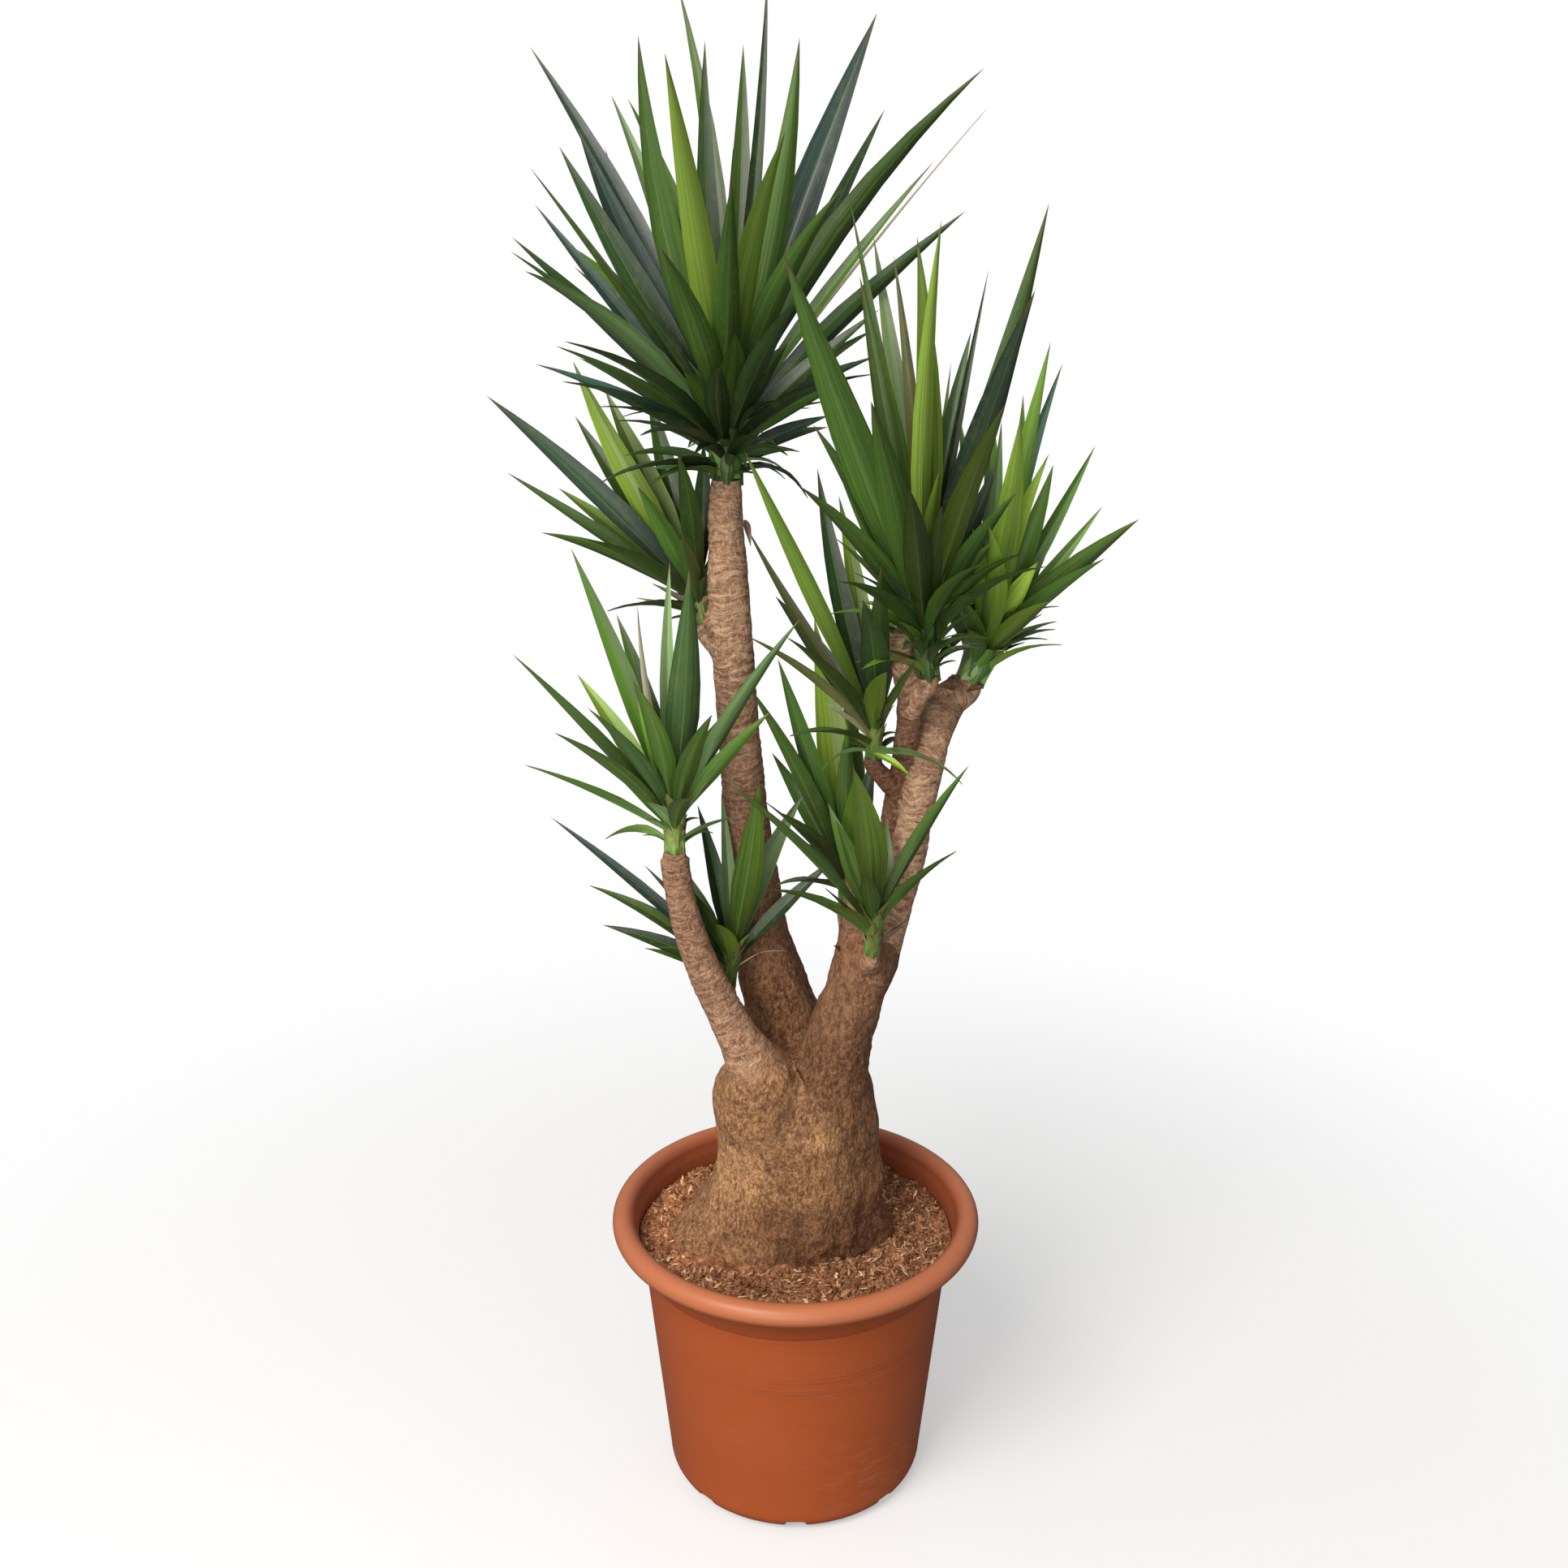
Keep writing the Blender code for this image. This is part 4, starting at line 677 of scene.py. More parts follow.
def scaled(tree, tint, amount):
    """A colour made lighter or darker: every part of it times a number."""
    node = put(tree, "ShaderNodeVectorMath", operation="SCALE")
    wire(tree, tint, node.inputs[0])
    wire(tree, amount, node.inputs["Scale"])
    return node.outputs[0]


def layered(tree, base, *layers):
    """Colours laid over a base, one after another. Each is a mask, how strong it is, and the colour."""
    for mask, strength, tint in layers:
        base = mixed(tree, times(tree, mask, strength), base, tint)
    return base


def weighed(tree, heights, **amounts):
    """Heights by their names, each times its amount, added up."""
    parts = [times(tree, heights[key], amount) for key, amount in amounts.items()]
    total = parts[0]
    for part in parts[1:]:
        total = plus(tree, total, part)
    return total


def grain_group():
    """Node group: fine uneven grain on object coordinates, as a mask and a height."""
    name = "Uneven Grain"
    if name in bpy.data.node_groups:
        return bpy.data.node_groups[name]
    group = bpy.data.node_groups.new(name, "ShaderNodeTree")
    starts = (("Scale", "Float", 60.0), ("Stretch", "Vector", (1, 1, 1)), ("Contrast", "Float", 2.0))
    for key, kind, start in starts:
        made = group.interface.new_socket(key, in_out="INPUT", socket_type="NodeSocket" + kind)
        made.default_value = start
    for key in ("Mask", "Height"):
        group.interface.new_socket(key, in_out="OUTPUT", socket_type="NodeSocketFloat")
    inside, outside = group.nodes.new("NodeGroupInput"), group.nodes.new("NodeGroupOutput")
    place = put(group, "ShaderNodeTexCoord").outputs["Object"]
    stretched = put(group, "ShaderNodeVectorMath", operation="MULTIPLY")
    wire(group, place, stretched.inputs[0])
    wire(group, inside.outputs["Stretch"], stretched.inputs[1])
    cloud = put(group, "ShaderNodeTexNoise", Detail=6.0, Roughness=0.6, Distortion=0.5)
    wire(group, stretched.outputs[0], cloud.inputs["Vector"])
    wire(group, inside.outputs["Scale"], cloud.inputs["Scale"])
    strong = times(group, less(group, cloud.outputs["Fac"], 0.5), inside.outputs["Contrast"])
    wire(group, plus(group, strong, 0.5, clamp=True), outside.inputs["Mask"])
    wire(group, cloud.outputs["Fac"], outside.inputs["Height"])
    return group


def grain(tree, scale, stretch=(1, 1, 1), contrast=2.0):
    """The grain group placed in a material: its mask and height sockets."""
    node = put(tree, "ShaderNodeGroup", node_tree=grain_group())
    set_up(node, Scale=scale, Stretch=stretch, Contrast=contrast)
    return node.outputs["Mask"], node.outputs["Height"]


def bumped(tree, shader, height, strength, distance):
    """A bump node from a height to the shader's Normal."""
    bump = put(tree, "ShaderNodeBump", Strength=strength, Distance=distance)
    wire(tree, height, bump.inputs["Height"])
    wire(tree, bump.outputs["Normal"], shader.inputs["Normal"])


# Finishes

def clay_plastic(settings):
    """Satin moulded plastic: faintly clouded terracotta, lighter on the rim with dust and painted sheen.

    Fine wavy turned lines run round the wall half way up. Soil stain and painted shade darken the inside,
    and painted shadow lies under the rim and under the bead.
    """
    made, tree, shader = new_material("Terracotta Plastic")
    cloud, _ = grain(tree, 7.0, (1, 1, 2.0), 1.5)
    scuff, fine = grain(tree, 120.0, (0.35, 0.35, 1.6), 5.0)
    stain, _ = grain(tree, 40.0, (1, 1, 0.7), 3.0)
    lines, _ = grain(tree, 15.0, (0.16, 0.16, 40.0), 9.0)
    scuffed = times(tree, worked(tree, "POWER", scuff, 4.0), attribute(tree, "scuffed"))
    turned = times(tree, worked(tree, "POWER", lines, 3.0), attribute(tree, "turned"))
    # Soil stain and painted shade on the inside wall
    stained_and_shaded = plus(tree, times(tree, stain, 0.2), 0.36)
    base = layered(tree, settings.clay,
                   (cloud, 0.6, settings.clay_worn),
                   # Dust and painted sheen on the rim
                   (attribute(tree, "rim"), 0.85, settings.rim_dust_and_sheen),
                   (attribute(tree, "inside"), stained_and_shaded, SOIL_STAIN_AND_SHADE),
                   (scuffed, 0.22, SCUFFED_CLAY),
                   (turned, 0.38, TURNED_LINE),
                   # Painted shadow under the rim and the bead
                   (attribute(tree, "rim_shadow"), 0.80, RIM_SHADOW_TONE))
    wire(tree, base, shader.inputs["Base Color"])
    bumped(tree, shader, less(tree, times(tree, fine, 0.05), times(tree, turned, 0.30)), 0.6, 0.0010)
    dull = plus(tree, plus(tree, times(tree, cloud, 0.10), 0.33), times(tree, scuffed, 0.3))
    wire(tree, dull, shader.inputs["Roughness"])
    set_up(shader, Specular_IOR_Level=0.38)
    return made


def potting_mix():
    """Crumbly mix: the colour is carried on the points, broken up by two sizes of grain."""
    made, tree, shader = new_material("Potting Mix")
    crumb, height = grain(tree, 330.0, (1, 1, 1), 3.5)
    patch, _ = grain(tree, 60.0, (1, 1, 1), 2.5)
    shade = plus(tree, times(tree, crumb, 0.80), 0.62)
    shade = times(tree, shade, plus(tree, times(tree, patch, 0.35), 0.80))
    wire(tree, scaled(tree, attribute(tree, "tint", "Color"), shade), shader.inputs["Base Color"])
    bumped(tree, shader, height, 0.9, 0.0012)
    set_up(shader, Roughness=0.92, Specular_IOR_Level=0.15)
    return made


def ringed(tree, phase, wide, tall, contrast, shift):
    """Noise in rings, drawn out across a stem and short along it: its mask and its height."""
    place = put(tree, "ShaderNodeSeparateXYZ")
    wire(tree, put(tree, "ShaderNodeTexCoord").outputs["Object"], place.inputs[0])
    rings = put(tree, "ShaderNodeCombineXYZ")
    wire(tree, times(tree, place.outputs[0], wide), rings.inputs[0])
    wire(tree, times(tree, place.outputs[1], wide), rings.inputs[1])
    wire(tree, plus(tree, times(tree, phase, tall), shift), rings.inputs[2])
    cloud = put(tree, "ShaderNodeTexNoise", Scale=1.0, Detail=5.0, Roughness=0.65, Distortion=0.2)
    wire(tree, rings.outputs[0], cloud.inputs["Vector"])
    strong = times(tree, less(tree, cloud.outputs["Fac"], 0.5), contrast)
    return plus(tree, strong, 0.5, clamp=True), cloud.outputs["Fac"]


def stem_bark(tree, settings, masks, phase, on_stem):
    """Colour of the stems: patches, pale crests and ridges, dark wrinkles and shade between rings."""
    # pale: bark lighter higher up, and painted light
    pale_and_lit = attribute(tree, "pale")
    turn = worked(tree, "FRACT", phase)
    crest = times(tree, pulse(tree, turn, 0.50, 0.40), on_stem)
    shadow = plus(tree, pulse(tree, turn, 0.97, 0.22), pulse(tree, turn, 0.0, 0.16), clamp=True)
    ridges = plus(tree, times(tree, pale_and_lit, 0.52), 0.26, clamp=True)
    return layered(tree, settings.bark,
                   (masks["patch"], 0.80, settings.old_bark),
                   (pale_and_lit, 0.46, settings.crest),
                   (masks["blot"], 0.50, RUSTY_BARK),
                   (crest, 0.22, settings.crest),
                   (masks["ridge"], ridges, PALE_RIDGE),
                   (masks["wrinkle"], 0.66, DARK_WRINKLE),
                   (times(tree, shadow, masks["mottle"]), 0.72, RING_SHADE),
                   (times(tree, masks["speck"], masks["straw"]), 0.65, STEM_FLECK))


def foot_bark(tree, settings, masks):
    """Colour of the swollen foot: broad patches, cork, streaks and straw flecks, with painted light where it
    is pale.
    """
    # pale: painted light on the foot's left side, and pale scars
    pale_and_lit = attribute(tree, "pale")
    base = layered(tree, mixed(tree, masks["broad"], FOOT_BARK, OLD_FOOT_BARK),
                   (pale_and_lit, 0.50, PALE_AND_LIT_FOOT),
                   (masks["mottle"], 0.56, FOOT_MOTTLE),
                   (masks["streak"], 0.60, FOOT_STREAK),
                   (masks["cork"], 0.58, FOOT_CORK),
                   (masks["straw"], 0.62, settings.straw),
                   (masks["speck"], 0.50, FOOT_SPECK))
    # Painted light: the foot is brighter where pale is high
    lit = times(tree, pale_and_lit, 1.0, clamp=True)
    return scaled(tree, base, plus(tree, times(tree, lit, 0.42), 0.94))


def bark_finish(settings):
    """Bark: ringed by leaf scars on the stems, corky and straw-flecked on the foot, pale where it is cut.

    The scars follow the point value phase, which rises by one from ring to ring. Noise that is wide across
    the stem and short along it makes wavy pale ridges and dark wrinkles between them.
    """
    made, tree, shader = new_material("Bark")
    phase, foot = attribute(tree, "phase"), attribute(tree, "foot")
    on_stem = less(tree, 1.0, foot, clamp=True)
    masks, heights = {}, {}
    for key, looks in BARK_GRAINS.items():
        masks[key], heights[key] = grain(tree, *looks)
    for key, looks in BARK_RINGS.items():
        masks[key], heights[key] = ringed(tree, phase, *looks)
    stems = stem_bark(tree, settings, masks, phase, on_stem)
    whole = mixed(tree, foot, stems, foot_bark(tree, settings, masks))
    # Bark darkened by age and by painted shade
    shaded = put(tree, "ShaderNodeVectorMath", operation="MULTIPLY")
    wire(tree, whole, shaded.inputs[0])
    shaded.inputs[1].default_value = AGED_SHADE
    whole = mixed(tree, attribute(tree, "aged_and_shaded"), whole, shaded.outputs[0])
    # Painted shade in creases, deep folds and joints between stems
    whole = layered(tree, whole, (attribute(tree, "hollow"), 0.85, settings.crease_shade))
    sawn = layered(tree, settings.cut, (masks["straw"], 0.5, CUT_GRAIN))
    wire(tree, mixed(tree, attribute(tree, "cut"), whole, sawn), shader.inputs["Base Color"])
    corky = weighed(tree, heights, straw=0.70, cork=-1.10, mottle=-1.10, streak=0.80)
    wavy = weighed(tree, heights, ridge=0.70, wrinkle=-0.50, speck=0.28, blot=-0.50)
    bumped(tree, shader, plus(tree, times(tree, corky, foot), times(tree, wavy, on_stem)), 1.0, 0.0050)
    set_up(shader, Roughness=0.74, Specular_IOR_Level=0.28)
    return made


def leaf_finish():
    """Leaf: the colour on the points, fine lengthwise veins that lighten and darken it, and a waxy gloss."""
    made, tree, shader = new_material("Leaf")
    across = attribute(tree, "across")
    place = put(tree, "ShaderNodeCombineXYZ")
    wire(tree, times(tree, across, 22.0), place.inputs[0])
    wire(tree, times(tree, attribute(tree, "along"), 1.3), place.inputs[1])
    wire(tree, attribute(tree, "own"), place.inputs[2])
    veins = put(tree, "ShaderNodeTexNoise", Scale=1.0, Detail=3.0)
    wire(tree, place.outputs[0], veins.inputs["Vector"])
    stripe = times(tree, less(tree, veins.outputs["Fac"], 0.30), 2.4, clamp=True)
    blotch, _ = grain(tree, 90.0, (1, 1, 0.6), 5.0)
    shade = plus(tree, times(tree, stripe, 0.62), 0.66)
    tone = layered(tree, scaled(tree, attribute(tree, "tint", "Color"), shade),
                   (pulse(tree, across, 0.5, 0.05), 0.30, MIDRIB),
                   (worked(tree, "POWER", blotch, 7.0), 0.12, LEAF_SPOT))
    wire(tree, tone, shader.inputs["Base Color"])
    bumped(tree, shader, veins.outputs["Fac"], 0.35, 0.0006)
    wire(tree, plus(tree, times(tree, stripe, 0.14), 0.30), shader.inputs["Roughness"])
    set_up(shader, Specular_IOR_Level=0.44)
    return made


def floor_finish(settings):
    """A pale floor that fades into the white of the backdrop with distance.

    To the camera it is near white. To the plant it throws back only a little light, so that shade stays deep.
    """
    made, tree, shader = new_material("Studio Floor")
    patch, _ = grain(tree, 1.5, (1, 1, 1), 1.0)
    seen = put(tree, "ShaderNodeLightPath").outputs["Is Camera Ray"]
    far = put(tree, "ShaderNodeVectorMath", operation="LENGTH")
    wire(tree, put(tree, "ShaderNodeTexCoord").outputs["Object"], far.inputs[0])
    fade = put(tree, "ShaderNodeMapRange", interpolation_type="SMOOTHSTEP", From_Min=0.40, From_Max=1.8)
    wire(tree, far.outputs["Value"], fade.inputs["Value"])
    near = layered(tree, settings.floor_tone, (patch, 0.03, (1, 1, 1)))
    lit = mixed(tree, fade.outputs["Result"], near, (0, 0, 0))
    wire(tree, mixed(tree, seen, (settings.bounce,) * 3, lit), shader.inputs["Base Color"])
    glow = times(tree, fade.outputs["Result"], 1.0 - settings.floor_glow)
    glow = plus(tree, glow, settings.floor_glow)
    wire(tree, layered(tree, (0, 0, 0), (glow, seen, (1, 1, 1))), shader.inputs["Emission Color"])
    set_up(shader, Emission_Strength=1.0, Roughness=0.95, Specular_IOR_Level=0.0)
    return made


# Tub

def wall_radius(tub, height):
    """Outer radius of the tapering wall at a height."""
    return tub.wall_foot + (tub.wall_top - tub.wall_foot) * height / tub.roll_height


def arc(radius, height, size, start, end, steps):
    """Part of a circle in the tub's section, about (radius, height), between two angles in degrees."""
    turn = np.radians(np.linspace(start, end, steps))
    return np.stack([radius + size * np.cos(turn), height + size * np.sin(turn)], axis=1)


def tub_profile(tub):
    """Outline of the tub's section as (radius, height), round from the middle of the base to the inside.

    It passes the centre pad, the foot ring, the rounded foot, the wall, the bead, the band and the rolled
    rim, then comes down inside. Corners that lie close together round off the edges.
    """
    roll = tub.rim_radius - tub.roll_radius
    foot = wall_radius(tub, tub.corner) - tub.corner
    at_bead = wall_radius(tub, tub.bead_low)
    bead = at_bead + tub.bead
    inner, low_inner = tub.collar - tub.wall, tub.corner - tub.wall
    return np.concatenate([
        [(0.001, 0.0), (0.0435, 0.0), (0.045, 0.0006), (0.049, 0.005), (0.106, 0.005), (0.108, 0.0044),
         (0.1115, 0.0006), (0.113, 0.0)],
        arc(foot, tub.corner, tub.corner, -90, 0, 18),
        [(wall_radius(tub, z), z) for z in WALL_HEIGHTS],
        [(at_bead - 0.0006, tub.bead_low - 0.0020), (at_bead + 0.0002, tub.bead_low - 0.0006),
         (bead - 0.0006, tub.bead_low + 0.0003), (bead, tub.bead_low + 0.0018),
         (bead, tub.collar_low - 0.0030), (bead + 0.0004, tub.collar_low - 0.0008),
         (tub.collar - 0.0006, tub.collar_low + 0.0012), (tub.collar, tub.collar_low + 0.0028),
         (tub.collar, 0.3305), (tub.collar + 0.0004, 0.3345)],
        arc(roll, tub.roll_height, tub.roll_radius - tub.wall, 165, -55, 14),
        arc(roll, tub.roll_height, tub.roll_radius, -62, 180, 34),
        [(inner + 0.0006, 0.3395), (inner, 0.3365), (inner, tub.collar_low + 0.0045),
         (wall_radius(tub, tub.collar_low) - tub.wall, tub.collar_low),
         (wall_radius(tub, 0.16) - tub.wall, 0.16)],
        arc(foot, 0.009 + low_inner, low_inner, 0, -90, 10),
        [(0.001, 0.009)],
    ])


def slotted(tub, radius, angle, height):
    """Heights of the tub's underside, lifted to the roofs of eight drain slots under the foot ring.

    A slot's roof is level, then slopes up and out, and its sides lean in from a wide mouth.
    """
    turn = (angle + math.pi / 2 + math.pi / 8) % (math.pi / 4) - math.pi / 8
    reach, aside = radius * np.cos(turn), np.abs(radius * np.sin(turn))
    corner_middle = wall_radius(tub, tub.corner) - tub.corner
    rise = (tub.slot_height - tub.corner) * math.cos(SLOT_SLOPE) + tub.corner - tub.slot_depth
    bend = corner_middle + rise / math.sin(SLOT_SLOPE)
    roof = tub.slot_height + np.maximum(reach - bend, 0) * math.tan(SLOT_SLOPE)
    side = (roof + 0.003) * (0.0204 - aside) / 0.0094 - 0.003
    under = (np.arange(len(radius))[:, None] < FOOT_ROWS) & (radius > 0.100)
    return np.where(under, np.maximum(height, np.minimum(roof, side)), height)


def tub_surface(tub):
    """The section turned about the z axis: P(t, a) = (r(t) cos a, r(t) sin a, z(t)).

    Columns crowd round the eight drain slots, whose roofs lift z under the foot ring and the rounded corner.
    """
    profile = tub_profile(tub)
    near = np.array([0, 1.6, 3.0, 4.0, 4.5, 5.0, 5.5, 6.0, 6.6, 7.2, 7.8, 8.4, 9.2, 11.5, 15.0, 18.8])
    sector = np.sort(np.concatenate([near, 45 - near[1:], [22.5]]))
    angle = np.radians((np.arange(8)[:, None] * 45 - 90 + sector[None, :]).ravel())
    radius = np.repeat(profile[:, :1], len(angle), axis=1)
    height = slotted(tub, radius, angle, np.repeat(profile[:, 1:], len(angle), axis=1))
    shape = closed_tube(np.stack([radius * np.cos(angle), radius * np.sin(angle), height], axis=-1))
    return shape, tub_marks(tub, profile, shape[0], len(angle))


def tub_marks(tub, profile, points, columns):
    """Turned lines, scuffs, soil stain and painted shade inside, dust and painted sheen on the rim, and
    painted shadow under it.
    """
    x, y, z = points.T
    outside = np.hypot(x, y) > tub.wall_foot - 0.004
    facing = np.clip(0.5 - y / 0.30, 0, 1) * np.clip(0.8 + x / 0.20, 0, 1)
    turned = np.exp(-((z - 0.222) / 0.020) ** 2) * outside * facing
    low_right = np.exp(-((z - 0.075) / 0.05) ** 2) * np.clip(x / 0.12, 0, 1)
    radius, height = profile.T
    row, top = np.arange(len(profile)), height.argmax()
    # Soil stain and painted shade inside, stronger further in from the roll
    depth = np.clip((tub.rim_radius - tub.roll_radius - radius) / tub.roll_radius, 0, 1) ** 1.5
    inside = (row > top) * depth
    # Dust and painted sheen on the upper part of the roll
    rim = ramp(height, 0.336, 0.009) * (1 - inside)
    # Painted shadow: a dark line just under the bead, and darkening under the rolled rim
    under_bead = np.exp(-((height - tub.bead_low + 0.0012) / 0.0016) ** 2)
    under_rim = (height > tub.bead_low + 0.001) * ramp(height, 0.345, -0.010) * 0.45
    rim_shadow = (row > FOOT_ROWS) * (row < top) * np.maximum(under_bead, under_rim)
    rows = {"inside": inside, "rim": rim, "rim_shadow": rim_shadow}
    values = {key: with_ends(np.repeat(numbers, columns)) for key, numbers in rows.items()}
    return {"turned": turned, "scuffed": 0.10 + 0.9 * low_right, **values}


# Wood

def foot_shape(height):
    """The swollen foot at each height: its middle's x and y, half width and half depth, as smooth curves."""
    table = np.array(FOOT_RINGS)
    return [smooth_values(table[:, 0], table[:, k], height) for k in range(1, 5)]


def foot_lobes(angle):
    """How far the foot's outline bulges beyond an ellipse: five and three shallow lobes."""
    return 1 + 0.022 * np.cos(5 * angle + 0.6) + 0.012 * np.cos(3 * angle + 2.0)


def foot_outline(angle, height):
    """The swollen foot's outline at each height, an ellipse with shallow lobes, as x and y."""
    cx, cy, wide, deep = foot_shape(height)
    lobes = foot_lobes(angle)
    return cx + wide * lobes * np.cos(angle), cy + deep * lobes * np.sin(angle)


def along_path(path, step):
    """Centres, radii, tangents and distance along a stem: a cubic through its points, sampled evenly."""
    path = np.array(path, float)
    knots = np.concatenate([[0], np.cumsum(np.linalg.norm(np.diff(path[:, :3], axis=0), axis=1))])
    count = max(6, int(knots[-1] / step))
    at = np.linspace(0, knots[-1], count)
    values = np.stack([smooth_values(knots, path[:, k], at, steady=k == 3) for k in range(4)], axis=1)
    tangent = np.gradient(values[:, :3], at, axis=0)
    tangent /= np.linalg.norm(tangent, axis=1)[:, None]
    return values[:, :3], values[:, 3], tangent, at


def cross_axes(tangent):
    """Two unit vectors square to each tangent, from the world axis that lies least along the path."""
    least = np.argmin(np.abs(tangent).max(axis=0))
    fixed = np.eye(3)[least]
    side = fixed - tangent * (tangent @ fixed)[:, None]
    side /= np.linalg.norm(side, axis=1)[:, None]
    return side, np.cross(tangent, side)


def rounded_least(first, second, reach):
    """The lesser of two distances, rounded off: min(d, e) - (k / 4) max(0, 1 - |d - e| / k)^2."""
    close = np.clip(1 - np.abs(first - second) / reach, 0, 1)
    return np.minimum(first, second) - close * close * reach / 4


def stem_field(path):
    """A function for how far points lie outside a stem: the least of |P - C(t)| - r(t) over its cones."""
    centre, radius = along_path(path, 0.012)[:2]
    start, run, grow = centre[:-1], np.diff(centre, axis=0), np.diff(radius)
    square = (run * run).sum(axis=1)

    def distance(points):
        offset = points[:, None, :] - start
        t = np.clip((offset * run).sum(axis=2) / square, 0, 1)
        away = np.linalg.norm(offset - t[..., None] * run, axis=2)
        return (away - radius[:-1] - t * grow).min(axis=1)

    return distance


def foot_field(points):
    """How far points lie outside the swollen foot, nearly: (q - lobes) times its half depth.

    q is the distance from its middle as a share of its ellipse. Above its top the height counts instead.
    """
    cx, cy, wide, deep = foot_shape(points[:, 2])
    x, y = (points[:, 0] - cx) / wide, (points[:, 1] - cy) / deep
    outside = (np.hypot(x, y) - foot_lobes(np.arctan2(y, x))) * deep
    return np.maximum(outside, points[:, 2] - FOOT_RINGS[-1][0])


def joint_reach(size, other):
    """How far apart two bodies still flow into each other. Those of like thickness keep a crease."""
    like = max(size, other) / min(size, other) < 1.3
    return (0.20 if like else 0.50) * min(size, other)


def rounded_joints(points, outward, number, bodies):
    """Moves one body's surface out to a rounded union with the others, and tells how near they are.

    With d its own distance and e another's, the union's is the rounded least of d and e. Each point slides
    along its outward way until that is what its own d was. Points deep inside another body stay hidden.
    """
    distance, size = bodies[number]
    flat, ways = points.reshape(-1, 3).copy(), outward.reshape(-1, 3)
    others = [(field, joint_reach(size, other)) for k, (field, other) in enumerate(bodies) if k != number]
    gaps = np.array([field(flat) for field, _ in others])
    shares = gaps / np.array([reach for _, reach in others])[:, None]
    near = ((shares < 1) & (shares > -0.4)).any(axis=0)
    stay = np.clip(1 + shares / 0.4, 0, 1).min(axis=0)
    moving, ways, stay = flat[near], ways[near], stay[near]
    goal = distance(moving)
    for _ in range(5):
        union = distance(moving)
        for field, reach in others:
            union = rounded_least(union, field(moving), reach)
        moving = moving + ways * ((goal - union) * stay)[:, None]
    flat[near] = moving
    clear = np.clip(shares.min(axis=0), 0, 1)
    return flat.reshape(points.shape), clear.reshape(points.shape[:-1])


def bark_relief(points, settings):
    """Height of the thick bark's relief at a place: lumps, fine rough cork, and root folds near the soil."""
    near_soil = ramp(points[..., 2], 0.430, -0.095)
    lumps = rough(points * np.array([26, 26, 17]), 2, 37)
    fine = rough(points * np.array([95, 95, 42]), 3, 31)
    turn = np.arctan2(points[..., 1] - 0.003, points[..., 0] + 0.01)
    folds = np.cos(7 * turn + 1.2 + 1.8 * noise(points * 14, 45)) + 0.6 * np.cos(13 * turn + 3.0)
    rugged = rough(points * 62, 3, 41)
    return settings.crag * (0.70 * lumps + 0.36 * fine + near_soil * (0.75 * folds + 0.80 * rugged))


def stem_surface(path, number, bodies, settings, age, flat_end=True):
    """A stem: P(s, a) = C(s) + (r(s) + ring(s, a)) (cos a U(s) + sin a V(s)), flowing into what it meets.

    ring is a row of round humps in the phase, which gains one for each band of leaf scars and wanders with
    noise. It fades where the stem is thick or meets another. Where it is thick, the foot's relief comes in.
    """
    sides = 64 if path[0][3] > 0.045 else 34
    centre, radius, tangent, at = along_path(path, settings.band / 5)
    ring = spokes(*cross_axes(tangent), np.linspace(0, 2 * math.pi, sides, endpoint=False))
    plain = centre[:, None] + ring * radius[:, None, None]
    skin, clear = rounded_joints(plain, ring, number, bodies)
    skin[[0, -1]] = plain[[0, -1]]
    wander = noise(plain * 30, number) * 0.65 + noise(plain * 85, number + 3) * 0.35
    phase = at[:, None] / settings.band + wander
    tooth = phase - np.floor(phase)
    thin = ramp(radius, 0.040, -0.014)[:, None] * clear * (0.55 + 0.9 * noise(plain * 50, number + 5))
    lip = settings.lip * (0.5 + 0.5 * np.clip(radius / 0.022, 0, 1.3))[:, None]
    swell = lip * thin * (np.sin(math.pi * tooth) ** 0.6 - 0.6)
    uneven = 0.055 * noise(plain * 24, number + 9) + 0.030 * noise(plain * 62, number + 15)
    uneven = uneven + 0.022 * noise(plain * np.array([90, 90, 170]), number + 21)
    swell = swell + radius[:, None] * uneven * clear
    thick = ramp(radius, 0.026, 0.014)[:, None]
    relief = bark_relief(skin, settings) * thick
    shape = closed_tube(skin + ring * (swell + relief)[..., None])
    # Painted shade in deep folds of the relief and where the stem meets another
    hollow = ramp(-relief / settings.crag, 0.35, 1) * 0.6 + ramp(clear, 0.26, -1) * 2.0
    aged_and_shaded, pale = stem_ages(centre[:, 2:], skin[..., 1], clear, age)
    cut = np.zeros_like(tooth)
    cut[-1] = 0.8 * flat_end
    return shape, {"phase": with_ends(phase), "foot": with_ends(np.broadcast_to(thick, tooth.shape), 1, 0),
                   "cut": with_ends(cut, 0, flat_end), "hollow": with_ends(hollow),
                   "aged_and_shaded": with_ends(aged_and_shaded, 0, age[1]), "pale": with_ends(pale, 0, age[3])}


def stem_ages(height, y, clear, age):
    """How dark with age and painted shade, and how pale, a stem's bark is. It is less dark at the back where
    it meets another.

    age is how dark the bark is low down and high up, how late that changes, and how much lighter it is
    painted.
    """
    up = ramp(height, 0.60, 0.45) ** age[2]
    # Darker with age and painted shade, from each stem's numbers
    aged_and_shaded = np.broadcast_to(age[0] + (age[1] - age[0]) * up, clear.shape)
    aged_and_shaded = aged_and_shaded * (1 - ramp(y, 0.02, 0.04) * np.clip(1 - clear * 1.2, 0, 0.55))
    # Lighter higher up, plus each stem's painted light
    return aged_and_shaded, ramp(height, 0.72, 0.30) * (1 - aged_and_shaded) + age[3]


